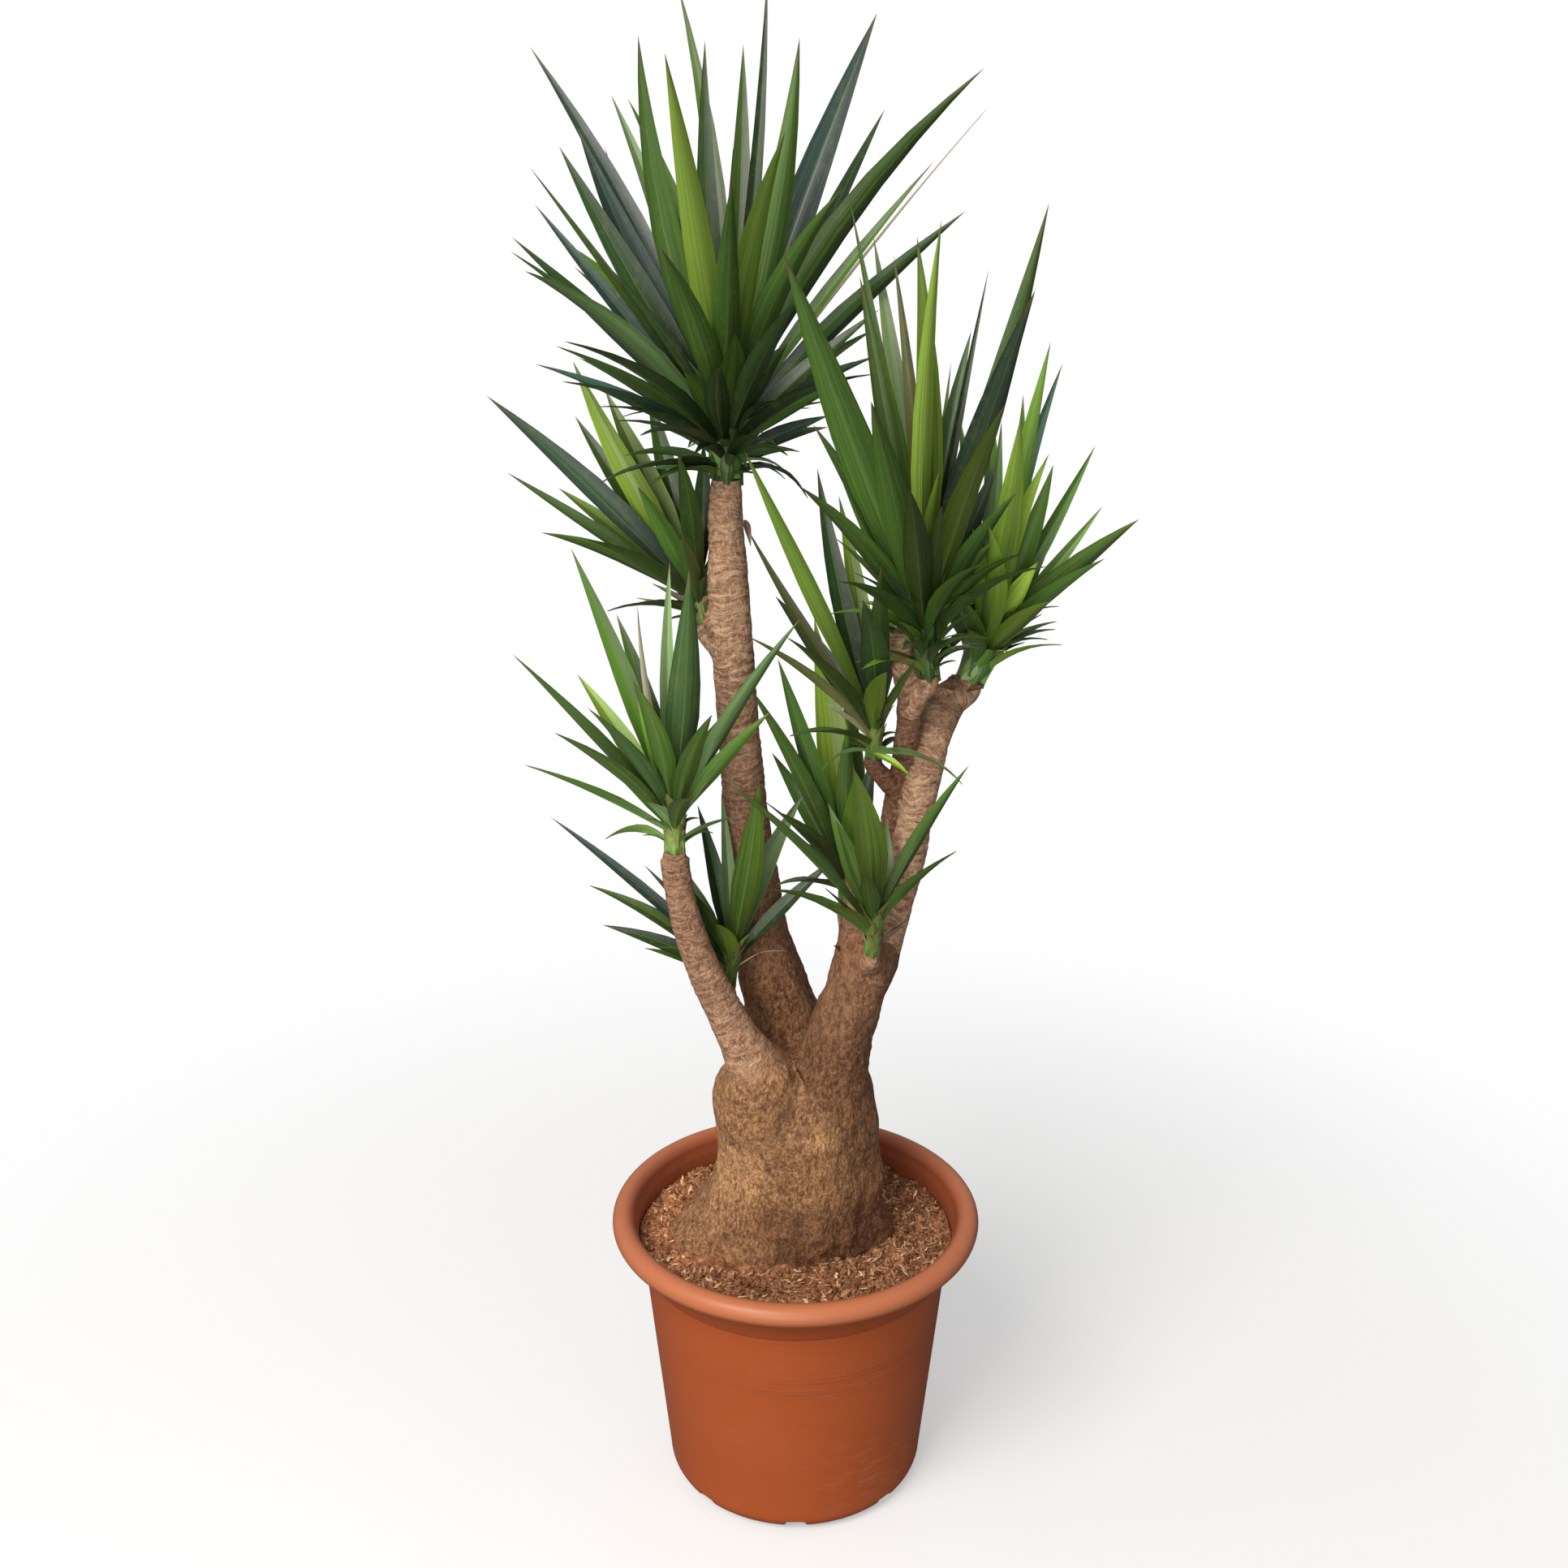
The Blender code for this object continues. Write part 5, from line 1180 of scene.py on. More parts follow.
def foot_surface(bodies, settings, sides=224, rows=150):
    """The swollen foot, flowing into the arms: P(z, a) = outline(z, a) + relief(P) outward(z, a).

    Outward points away from the foot's middle line, and more and more upwards near the top.
    """
    low, high = FOOT_RINGS[0][0], FOOT_RINGS[-1][0]
    height = (low + (high - low) * np.linspace(0, 1, rows) ** 0.8)[:, None]
    angle = np.linspace(0, 2 * math.pi, sides, endpoint=False)[None, :]
    angle, height = np.broadcast_arrays(angle, height)
    x, y = foot_outline(angle, height)
    plain = np.stack([x, y, height], axis=-1)
    middle = np.stack([*foot_shape(height)[:2], height - 0.35 * ramp(height, 0.50, 0.06)], axis=-1)
    outward = plain - middle
    outward /= np.linalg.norm(outward, axis=-1, keepdims=True)
    eased, clear = rounded_joints(plain, outward, 0, bodies)
    fade = ramp(height, high, -0.010) * ramp(height, 0.312, 0.006)
    eased = plain + (eased - plain) * ramp(height, high, -0.004)[..., None]
    relief = bark_relief(eased, settings)
    skin = eased + outward * (relief * fade)[..., None]
    # Painted shade in deep folds of the relief and where the foot meets a stem
    hollow = ramp(-relief / settings.crag, 0.35, 1) * 0.6 + ramp(clear, 0.24, -1) * 1.6
    aged_and_shaded, pale = foot_ages(plain, skin)
    none = np.zeros_like(hollow)
    return closed_tube(skin), {"phase": with_ends(none), "foot": with_ends(none + 1, 1, 1),
                               "cut": with_ends(none), "hollow": with_ends(hollow * fade),
                               "aged_and_shaded": with_ends(aged_and_shaded), "pale": with_ends(pale)}


def foot_marks(skin, kind):
    """Strength of the marks of one kind at each place: round hills that fall off from their middles."""
    x, z = skin[..., 0], skin[..., 2]
    return sum(power * np.exp(-((x - mark_x) / wide) ** 2 - ((z - mark_z) / tall) ** 2)
               for mark_x, mark_z, wide, tall, what, power in FOOT_MARKS if what == kind)


def foot_ages(plain, skin):
    """How dark and how pale the foot is: damp and dark at the soil, painted shade right and behind, painted
    light at left.
    """
    x, y, height = np.moveaxis(plain, -1, 0)
    damp = ramp(height, 0.416, -0.055) * ramp(x, -0.080, 0.050)
    damp = damp * np.clip(0.65 + 0.9 * noise(plain * 22, 61), 0, 1)
    # Darker where damp near the soil, and painted shade on the foot's right side
    aged_and_shaded = np.clip(0.95 * damp + 0.30 * ramp(x, 0.050, 0.05), 0, 1)
    # Painted shade: the back of the foot is darker
    behind = ramp(skin[..., 1], 0.01, 0.05) * ramp(skin[..., 2], 0.400, 0.100)
    aged_and_shaded = np.clip(aged_and_shaded + foot_marks(skin, "aged_and_shaded") * (y < 0) + 0.52 * behind, 0, 1)
    # Painted light on the foot's left side; the pale marks are scars
    pale = 1.2 * ramp(x, -0.015, -0.05) * np.clip((height - 0.380) / 0.050, 0.25, 1) * (1 - damp)
    return aged_and_shaded, pale + foot_marks(skin, "pale") * (y < 0)


def seated(stem, head):
    """A stem's path lengthened to end in a shoulder, flat against the foot of its head's core."""
    foot, axis, _ = core_line(head)
    before = foot - axis * SHOULDER
    return (*stem, (*before, (head[3] + stem[-1][3]) / 2), (*foot, head[3] + 0.0005))


# Potting mix

def wood_edge(angle):
    """The foot's outline where the mix meets it."""
    return foot_outline(angle, np.full_like(angle, MIX_LEVEL))


def soil_surface(tub, settings, sides=420):
    """A closed body of mix: rings that pass from circles at the tub's wall to the foot's outline.

    P(t, a) = (1 - w(t)) circle(a) + w(t) foot outline(a), at height z(t), with crumbs of noise on top. The
    mix is heaped a little against the wood, and its inner edge lies just inside it.
    """
    inner = tub.collar - tub.wall - 0.0004
    low = 0.0096
    wall_low = tub.wall_foot - tub.wall - 0.004
    step_z = tub.collar_low + 0.0052
    rows_on_top = 74
    top = np.linspace(0, 1, rows_on_top + 1)[1:]
    circle = [0.001, wall_low - 0.02, wall_low, 0.187, inner, inner]
    circle = np.concatenate([circle, np.full(rows_on_top + 3, inner)])
    weight = np.concatenate([np.zeros(6), top, np.ones(3)])
    z_top = settings.edge + (settings.crown - settings.edge) * top
    height = np.concatenate([[low, low, 0.026, tub.collar_low, step_z, settings.edge], z_top,
                             [0.312, 0.2048, 0.2046]])
    shrink = np.concatenate([np.ones(6 + rows_on_top + 2), [0.02]])
    angle = np.linspace(0, 2 * math.pi, sides, endpoint=False)[None, :]
    fx, fy = wood_edge(angle)
    cx, cy = FOOT_RINGS[0][1], FOOT_RINGS[0][2]
    fx, fy = cx + (fx - cx) * 0.97, cy + (fy - cy) * 0.97
    w, r = weight[:, None], circle[:, None]
    x = (1 - w) * r * np.cos(angle) + w * (cx + (fx - cx) * shrink[:, None])
    y = (1 - w) * r * np.sin(angle) + w * (cy + (fy - cy) * shrink[:, None])
    z = np.repeat(height[:, None], sides, axis=1)
    rings = np.stack([x, y, z], axis=-1)
    rows = np.arange(len(height))[:, None]
    on_top = (rows >= 6) & (rows < 6 + rows_on_top)
    rings[..., 2] += on_top * soil_relief(x, y, settings)
    shape = closed_tube(rings)
    lift = noise(shape[0] * 130, 5) * 0.5 + 0.5
    mix = np.clip(lift * 1.3 - 0.15, 0, 1)[:, None]
    return shape, blended(settings.peat, settings.coir, mix)


def soil_relief(x, y, settings):
    """Height of crumbs over the mix's plain surface: lumps |noise| with creases between them, on low hills.

    Near the wood the mix is heaped: a hill that falls off with the distance from the foot's outline.
    """
    flat = np.stack([x, y, np.zeros_like(x)], axis=-1)
    lumps = np.abs(noise(flat * 90, 11)) + 0.6 * np.abs(noise(flat * 210, 12)) + 0.3 * noise(flat * 400, 13)
    turn = np.arctan2(y - FOOT_RINGS[0][2], x - FOOT_RINGS[0][1])
    fx, fy = wood_edge(turn)
    away = np.hypot(x, y) - np.hypot(fx, fy)
    heap = np.exp(-np.maximum(away, 0) / 0.018) * (0.55 + 0.45 * noise(flat * 55, 19))
    return settings.crumb * (1.1 * lumps + 0.7 * rough(flat * 24, 2, 17) - 0.35) + settings.heap * heap


def soil_height(tub, settings, x, y):
    """Height of the mix's surface at a place."""
    turn = np.arctan2(y, x)
    fx, fy = wood_edge(turn)
    near, far = np.hypot(fx, fy), tub.collar - tub.wall
    t = np.clip((far - np.hypot(x, y)) / (far - near), 0, 1)
    return settings.edge + (settings.crown - settings.edge) * t + soil_relief(x, y, settings)


def thrown(tub, settings, draw, count, margin):
    """Places on the mix, spread evenly between the wood and the tub's wall by seeded draws: x, y and z."""
    turn = draw.uniform(0, 2 * math.pi, count * 3)
    fx, fy = wood_edge(turn)
    near, far = np.hypot(fx, fy) - 0.002, tub.collar - tub.wall - margin
    reach = np.sqrt(draw.uniform(0.06**2, far**2, count * 3))
    keep = reach > near
    x, y = (reach * np.cos(turn))[keep][:count], (reach * np.sin(turn))[keep][:count]
    return x, y, soil_height(tub, settings, x, y)


def scattered(corners, faces, sizes, spin, tilt, places):
    """Copies of one small body: P = place + turn * (size * corner). corners may differ from copy to copy."""
    count = len(places)
    local = corners * sizes[:, None, :]
    along = np.stack([np.cos(spin) * np.cos(tilt), np.sin(spin) * np.cos(tilt), np.sin(tilt)], axis=1)
    side = np.stack([-np.sin(spin), np.cos(spin), np.zeros(count)], axis=1)
    axes = np.stack([along, side, np.cross(along, side)], axis=1)
    points = np.einsum("nki,nij->nkj", local, axes) + places[:, None, :]
    triangles = (faces[None] + corners.shape[-2] * np.arange(count)[:, None, None]).reshape(-1, 3)
    return points.reshape(-1, 3), np.zeros((0, 4), int), triangles


def crumbs(tub, settings):
    """Crumbs of mix: knobbly balls of 20 faces, whose corners are drawn in and out by seeded draws."""
    draw = np.random.default_rng(8)
    golden = (1 + math.sqrt(5)) / 2
    ball = np.array([(-1, golden, 0), (1, golden, 0), (-1, -golden, 0), (1, -golden, 0), (0, -1, golden),
                     (0, 1, golden), (0, -1, -golden), (0, 1, -golden), (golden, 0, -1), (golden, 0, 1),
                     (-golden, 0, -1), (-golden, 0, 1)]) / 1.9
    faces = np.array([(0, 11, 5), (0, 5, 1), (0, 1, 7), (0, 7, 10), (0, 10, 11), (1, 5, 9), (5, 11, 4),
                      (11, 10, 2), (10, 7, 6), (7, 1, 8), (3, 9, 4), (3, 4, 2), (3, 2, 6), (3, 6, 8),
                      (3, 8, 9), (4, 9, 5), (2, 4, 11), (6, 2, 10), (8, 6, 7), (9, 8, 1)])
    x, y, z = thrown(tub, settings, draw, settings.crumbs, 0.004)
    count = len(x)
    corners = ball[None] * draw.uniform(0.62, 1.25, (count, 12, 1))
    size = settings.crumb_size * (0.25 + 0.75 * draw.uniform(0, 1, count) ** 2.5)
    sizes = size[:, None] * draw.uniform(0.55, 1.0, (count, 3))
    places = np.stack([x, y, z + sizes[:, 2] * 0.15], axis=1)
    shape = scattered(corners, faces, sizes, draw.uniform(0, 6.3, count), draw.normal(0, 0.6, count), places)
    tint = blended(settings.peat, settings.coir, draw.uniform(0, 1, (count, 1)))
    tint = tint * draw.uniform(0.70, 1.25, (count, 1))
    return shape, np.repeat(tint, 12, axis=0)


def chip_flakes(tub, settings):
    """Loose flakes and slivers on the mix: six-pointed shapes, thrown by seeded draws."""
    draw = np.random.default_rng(4)
    x, y, z = thrown(tub, settings, draw, settings.chips, 0.006)
    count = len(x)
    size = settings.chip_length * (0.20 + 0.80 * draw.uniform(0, 1, count) ** 2.6)
    wide, thick = draw.uniform(0.12, 0.42, count), draw.uniform(0.05, 0.16, count)
    sizes = np.stack([size, size * wide, size * thick], axis=1) / 2
    corners = np.array([(-1, -0.3, 0), (-0.5, 0.9, 0.1), (0.7, 0.8, 0), (1, -0.2, 0.1), (0.2, -1, 0),
                        (0, 0, 1.0), (0, 0, -1.0)])
    ring = np.array([0, 4, 3, 2, 1])
    faces = np.concatenate([fan_triangles(ring, 5, False), fan_triangles(ring, 6, True)])
    places = np.stack([x, y, z + sizes[:, 2] * 0.9 + 0.0010], axis=1)
    spin, tilt = draw.uniform(0, 6.3, count), draw.normal(0, 0.40, count)
    shape = scattered(corners[None], faces, sizes, spin, tilt, places)
    pale = (draw.uniform(0, 1, count) ** 1.6)[:, None]
    tint = blended(settings.coir, settings.straw, pale) * draw.uniform(0.55, 1.25, (count, 1))
    return shape, np.repeat(tint, 7, axis=0)


# Heads of leaves

def core_line(head):
    """A head's core: its foot, the unit vector from there to its heart, and its height."""
    foot, heart = np.array(head[1]), np.array(head[2])
    height = np.linalg.norm(heart - foot)
    return foot, (heart - foot) / height, height


def direction(fan, toward):
    """Unit vectors of leaves from their fan angles and angles towards the front, in degrees."""
    f, t = np.radians(fan), np.radians(toward)
    return np.stack([np.sin(f) * np.cos(t), -np.sin(t), np.cos(f) * np.cos(t)], axis=-1)


def spiral_leaves(seen, count, longest, lowest):
    """Leaves on a golden-angle spiral round the head, lowest first, left out where seen ones are near."""
    table = np.array([leaf[:3] for leaf in seen])
    taken = direction(table[:, 0], table[:, 1])
    axis = (taken * table[:, 2:]).sum(0)
    axis[1] = 0.0
    axis /= np.linalg.norm(axis)
    side = np.cross(axis, (0.0, 1.0, 0.0))
    other = np.cross(axis, side)
    made = []
    for k in range(count):
        part = k / (count - 1)
        tilt = lowest + (HIGHEST_TILT - lowest) * part**0.85
        turn = k * GOLDEN_ANGLE
        across = side * math.cos(turn) + other * math.sin(turn)
        vector = axis * math.cos(math.radians(tilt)) + across * math.sin(math.radians(tilt))
        near = (taken @ vector).max() > math.cos(math.radians(NEAR_DEGREES))
        if near or abs(vector[1]) < NEAR_PLANE or abs(vector @ side) > WIDEST_SPREAD:
            continue
        size = longest * (1 - 0.52 * (tilt / lowest) ** 1.4) * (0.94 + 0.06 * math.cos(5 * turn))
        fan = math.degrees(math.atan2(vector[0], vector[2]))
        toward = math.degrees(math.asin(-vector[1]))
        letter = "g" if k % 3 else "f"
        if tilt > 62:
            letter = "d" if longest > 0.38 else "g"
        made.append((fan, toward, size, 0.018 + 0.036 * size, 0.02 + 0.06 * tilt / lowest, letter))
    return made


def head_leaves(head):
    """Root, tip, upper side, width, bow and letter of each leaf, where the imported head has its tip."""
    name, _, heart, low_radius, high_radius, seen, *spiral = head
    foot, axis, _ = core_line(head)
    heart = np.array(heart)
    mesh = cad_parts[name].data
    corners = np.zeros(len(mesh.vertices) * 3, np.float32)
    mesh.vertices.foreach_get("co", corners)
    corners = corners.reshape(-1, 3).astype(float)
    changes = sorted(((t, s) for t in TURNS for s in SIDEWAYS), key=lambda c: abs(c[0]) + 4 * abs(c[1]))
    changes = np.array(changes)
    made = []
    for leaf in (*seen, *spiral_leaves(seen, *spiral)):
        toward = np.clip(leaf[1] + changes[:, 0], -88.0, 88.0)
        vectors = direction(leaf[0] + changes[:, 1], toward)
        tips = heart + vectors * leaf[2]
        gaps = np.linalg.norm(tips[:, None] - corners[None], axis=2).min(axis=1)
        found = np.flatnonzero(gaps < TIP_MATCH)
        if len(found) == 0:
            continue
        vector, tip = vectors[found[0]], tips[found[0]]
        tilt = math.degrees(math.acos(max(-1.0, min(1.0, float(vector @ axis)))))
        level = max(0.16, min(1.0, 1.0 - tilt / 125))
        outward = vector - axis * (vector @ axis)
        size = np.linalg.norm(outward)
        outward = outward / size if size > 1e-6 else np.array((1.0, 0.0, 0.0))
        radius = low_radius + (high_radius - low_radius) * level
        root = foot + (heart - foot) * level + outward * (0.35 * radius * min(1.0, size * 3))
        roll = ROLL * (1 - abs(vector[1])) * (1.0 if leaf[1] >= 0 else -1.0)
        up = axis + np.array((0.0, roll, 0.0))
        up = up - vector * (up @ vector)
        made.append((root, tip, up / np.linalg.norm(up), leaf[3], leaf[4], leaf[5]))
    return made


def sheaths(head, count):
    """Leaf bases that clasp the core, as root, tip, upper side, width, bow and letter.

    They stand on a golden-angle spiral, each rooted on the core with its hollow side to the axis, and lean
    out more towards the heart. The lowest overlap the end of the bark. Big heads have longer and darker ones.
    """
    foot, axis, height = core_line(head)
    side, other = (v[0] for v in cross_axes(axis[None]))
    big = head[0] in BIG_HEADS
    level = np.sort((np.arange(count) + 0.5) / count)[:, None] * 0.92
    turn = np.arange(count)[:, None] * GOLDEN_ANGLE
    outward = side * np.cos(turn) + other * np.sin(turn)
    radius = head[3] + (head[4] - head[3]) * level
    out = np.where(level < 0.30, 1.02 if big else 0.80, 0.60)
    root = foot + axis * (height * level * 0.9 - 0.0075) + outward * radius * out
    way = axis + outward * (0.08 + (0.55 if big else 0.42) * level)
    way /= np.linalg.norm(way, axis=1)[:, None]
    tip = root + way * (0.024 + 0.030 * level) * (1.7 if big else 1.0)
    letters = ["dhdbdg"[k % 6] if big else "h" for k in range(count)]
    return [(root[k], tip[k], -outward[k], (1.7 if big else 1.6) * float(radius[k, 0]), 0.05, letters[k])
            for k in range(count)]


def small_leaves(head):
    """Short leaves about a head's foot: a golden-angle spiral, hanging over most at the bottom."""
    count, longest, steepest = SMALL_LEAVES.get(head[0], (0, 0.0, 0.0))
    foot, axis, _ = core_line(head)
    side, other = (v[0] for v in cross_axes(axis[None]))
    made = []
    for k in range(count):
        level, turn = 0.04 + 0.66 * k / count, 0.7 + k * GOLDEN_ANGLE
        outward = side * math.cos(turn) + other * math.sin(turn)
        tilt = math.radians(steepest * (1 - 0.72 * level) + 14 * math.cos(5.1 * k))
        way = axis * math.cos(tilt) + outward * math.sin(tilt)
        size = longest * (0.35 + 0.65 * math.cos(2.3 * k) ** 2)
        root = foot + (np.array(head[2]) - foot) * level + outward * head[3] * 0.5
        up = axis * math.sin(tilt) - outward * math.cos(tilt)
        width, bow = 0.006 + 0.11 * size, 0.06 + 0.14 * math.cos(3.7 * k) ** 2
        made.append((root, root + way * size, up, width, bow, "dgdpfdg"[k % 7]))
    return made


def leaf_half(part):
    """Half width as a share of the widest: it swells by a smoothstep, then tapers by 1 - x^1.5 to the tip."""
    rise = np.minimum(part / LEAF_WIDEST_AT, 1.0)
    fall = np.maximum(part - LEAF_WIDEST_AT, 0.0) / (1 - LEAF_WIDEST_AT)
    return (LEAF_ROOT_WIDTH + (1 - LEAF_ROOT_WIDTH) * rise * rise * (3 - 2 * rise)) * (1 - fall**1.5)


def midribs(root, tip, up, bow, settings, draw):
    """Points along each blade's midrib, and its turned axes there: to its side and to its upper face.

    The midrib is the chord raised by a parabola and swayed sideways by a smaller one. The two axes turn
    slowly about it, so that the blade twists.
    """
    count = len(root)
    chord = tip - root
    size = np.linalg.norm(chord, axis=1)[:, None]
    along = chord / size
    up = up - along * (up * along).sum(1)[:, None]
    up /= np.linalg.norm(up, axis=1)[:, None]
    side = np.cross(along, up)
    part = np.array(BLADE_RINGS)[None, :]
    rise, drift = 4 * bow * size * part * (1 - part), 4 * bow * (1 - 2 * part)
    sway = draw.normal(0, 0.017, (count, 1)) * 4 * size * part * (1 - part)
    centre = root[:, None] + chord[:, None] * part[..., None] + up[:, None] * rise[..., None]
    centre = centre + side[:, None] * sway[..., None]
    slope = along[:, None] + up[:, None] * drift[..., None]
    slope /= np.linalg.norm(slope, axis=2)[..., None]
    normal = np.cross(side[:, None], slope)
    turn = draw.uniform(-1, 1, (count, 1)) * settings.twist * part
    aside = side[:, None] * np.cos(turn)[..., None] + normal * np.sin(turn)[..., None]
    above = normal * np.cos(turn)[..., None] - side[:, None] * np.sin(turn)[..., None]
    return centre, aside, above


def blades(leaves, settings, seed):
    """All the blades of a head. Each is P(t, q) = C(t) + x(q) w(t) S(t) + y(q, t) N(t), on its midrib C.

    The section is a gutter: its halves rise from the midrib at a slope that eases towards the tip, and its
    underside bulges by a parabola.
    """
    draw = np.random.default_rng(seed)
    count = len(leaves)
    root, tip, up = (np.array([leaf[k] for leaf in leaves]) for k in range(3))
    width, bow = (np.array([leaf[k] for leaf in leaves])[:, None] for k in (3, 4))
    centre, aside, above = midribs(root, tip, up, bow, settings, draw)
    part = np.array(BLADE_RINGS)
    half = leaf_half(part) * width / 2
    across = np.array([-1, -0.58, -0.07, 0.07, 0.58, 1, 0.55, 0, -0.55])
    below = np.array([0, 0, 0, 0, 0, 0, 1, 1, 1])
    fold = settings.gutter * (1.25 - 0.75 * part) * half
    thick = np.maximum(0.0030 * (1 - part) * np.minimum(1.0, width / 0.02), 0.0008)
    lift = fold[..., None] * (np.abs(across) - 0.45) - thick[..., None] * below * (1 - across**2)
    grid = centre[:, :, None] + aside[:, :, None] * (half[..., None] * across)[..., None] \
        + above[:, :, None] * lift[..., None]
    rings, sides = len(part), len(across)
    points_each = rings * sides + 2
    points = np.concatenate([grid.reshape(count, -1, 3), root[:, None], tip[:, None]], axis=1)
    quads = grid_quads(rings, sides)[:, ::-1]
    ring = np.arange(sides)
    ends = np.concatenate([fan_triangles(ring, points_each - 2, False),
                           fan_triangles(ring + (rings - 1) * sides, points_each - 1, True)])
    shift = points_each * np.arange(count)[:, None, None]
    shape = (points.reshape(-1, 3), (quads[None] + shift).reshape(-1, 4), (ends[None] + shift).reshape(-1, 3))
    tint = leaf_tints(leaves, settings, draw, part, across, below)
    one_across = with_ends(np.tile(across * 0.5 + 0.5, rings), 0.5, 0.5)
    one_along = with_ends(np.repeat(part, sides), 0, 1)
    values = {"across": np.tile(one_across, count), "along": np.tile(one_along, count),
              "own": np.repeat(draw.uniform(0, 40, count), points_each)}
    return shape, tint, values


def leaf_tints(leaves, settings, draw, part, across, below):
    """Colour of each blade's points: its own colour, one half painted lighter and one darker, pale at the
    base, brown at the tip.

    Sunlit leaves all have one colour. Long leaves darken towards their roots, where little light gets in.
    Short ones on big heads get painted light, where leaves above shade them. Leaf bases turn rusty at their
    ends.
    """
    names = {"d": settings.deep, "b": settings.blue, "g": settings.green, "f": settings.fresh,
             "s": settings.sunlit, "p": settings.pale, "o": settings.olive, "t": settings.dry,
             "h": settings.sheath, "w": settings.withered}
    count, sides = len(leaves), len(across)
    letters = np.array([leaf[5] for leaf in leaves])
    own = np.array([tuple(names[letter]) for letter in letters])
    size = np.array([np.linalg.norm(leaf[1] - leaf[0]) for leaf in leaves])[:, None]
    big = size.max() > 0.30
    own = own * draw.uniform(0.55 if big else 0.78, 1.30, (count, 1)) * draw.uniform(0.92, 1.08, (count, 3))
    own = np.where((letters == "s")[:, None], np.array(settings.sunlit) * 0.98, own)
    # Painted light on short leaves of big heads, which the leaves above shade
    own = own * np.where(big & (size < 0.20), 1.40, 1.0)
    # Painted light and shade: one half of each blade lighter, the other darker, as on a lit fold
    lit_half = draw.choice([-1, 1], (count, 1, 1)) * np.sign(across)[None, None]
    tint = own[:, None, None] * (1 + 0.22 * lit_half)[..., None]
    tint = np.broadcast_to(tint, (count, len(part), sides, 3))
    tint = blended(tint, settings.pale, (below * 0.16)[None, None, :, None])
    from_root = part[None, :] * size
    deep = 0.62 * ramp(size, 0.10, 0.15) * np.clip(1 - (from_root - 0.015) / 0.15, 0, 1)
    tint = tint * (1 - deep)[..., None, None]
    base = (np.clip(1 - from_root / 0.022, 0, 1) * 0.75)[..., None, None]
    pale_base = np.array([PALE_BASES.get(leaf[5], 0.30) for leaf in leaves])[:, None, None, None]
    tint = blended(tint, settings.sheath, base * pale_base)
    tint = blended(tint, BROWN_TIP, (ramp(part, 0.93, 0.05) * 0.7)[None, :, None, None])
    rust = (letters == "h")[:, None, None, None] * ramp(part, 0.45, 0.4)[None, :, None, None]
    tint = blended(tint, RUST, rust * draw.uniform(0, 0.9, (count, 1, 1, 1)))
    ends = np.stack([tint[:, 0, 0], np.broadcast_to(np.array(TIP_POINT), (count, 3))], axis=1)
    return np.concatenate([tint.reshape(count, -1, 3), ends], axis=1).reshape(-1, 3)


def head_core(head, settings, sides=24, rows=22):
    """The core of a head: P(s, a) = C(s) + r(s, a) (cos a U + sin a V), ringed where leaf bases clasp it.

    It is green at the heart, and at the foot a dull leaf-base colour, or dark green on a big core.
    """
    foot, axis, height = core_line(head)
    low_radius, high_radius = head[3:5]
    part = np.linspace(0, 1, rows)
    end = np.sqrt(np.clip(1 - ramp(part, 0.9, 0.1) ** 2, 0.04, 1))
    angle = np.linspace(0, 2 * math.pi, sides, endpoint=False)
    ring = spokes(*cross_axes(np.repeat(axis[None], rows, axis=0)), angle)
    clasp = (1.0 if low_radius > BIG_CORE else 0.82) + 0.05 * np.sin(part[:, None] * 26 + 2 * angle)
    reach = ((low_radius + (high_radius - low_radius) * part) * end)[:, None] * clasp
    centre = foot + axis * (part * (height + high_radius * 0.7))[:, None] + axis * 0.0004
    shape = closed_tube(centre[:, None] + ring * reach[..., None])
    fade = with_ends(np.repeat(part, sides), 0, 1)
    bottom = np.array(settings.deep) * 0.8 if low_radius > BIG_CORE else np.array(settings.sheath) * 0.45
    own = {"across": with_ends(np.tile(angle / (2 * math.pi), rows)), "along": fade * 0.2,
           "own": np.full(len(shape[0]), 3.0)}
    return shape, blended(bottom, settings.green, fade[:, None]), own


# Stage

def floor_surface():
    """A level disc of floor: P(r, a) = (r cos a, r sin a, 0), in rings that widen outwards."""
    radius = np.concatenate([np.linspace(0.05, 1.0, 8), np.geomspace(1.5, 40, 8)])[::-1, None]
    angle = np.linspace(0, 2 * math.pi, 64, endpoint=False)[None, :]
    rings = np.stack([radius * np.cos(angle), radius * np.sin(angle), np.zeros((16, 64)) - 0.0002], axis=-1)
    points = np.concatenate([rings.reshape(-1, 3), [[0, 0, -0.0002]]])
    return points, grid_quads(16, 64), fan_triangles(np.arange(64) + 15 * 64, 16 * 64, False)


def add_sky(scene, settings):
    """Even white light from all round. The camera sees it as plain white."""
    world = bpy.data.worlds.new("Studio Light")
    world.use_nodes = True
    tree = world.node_tree
    seen = put(tree, "ShaderNodeLightPath").outputs["Is Camera Ray"]
    sky = tree.nodes["Background"]
    sky.inputs["Color"].default_value = (1.0, 1.0, 1.0, 1.0)
    strength = plus(tree, times(tree, seen, 1.0 - settings.sky), settings.sky)
    wire(tree, strength, sky.inputs["Strength"])
    scene.world = world


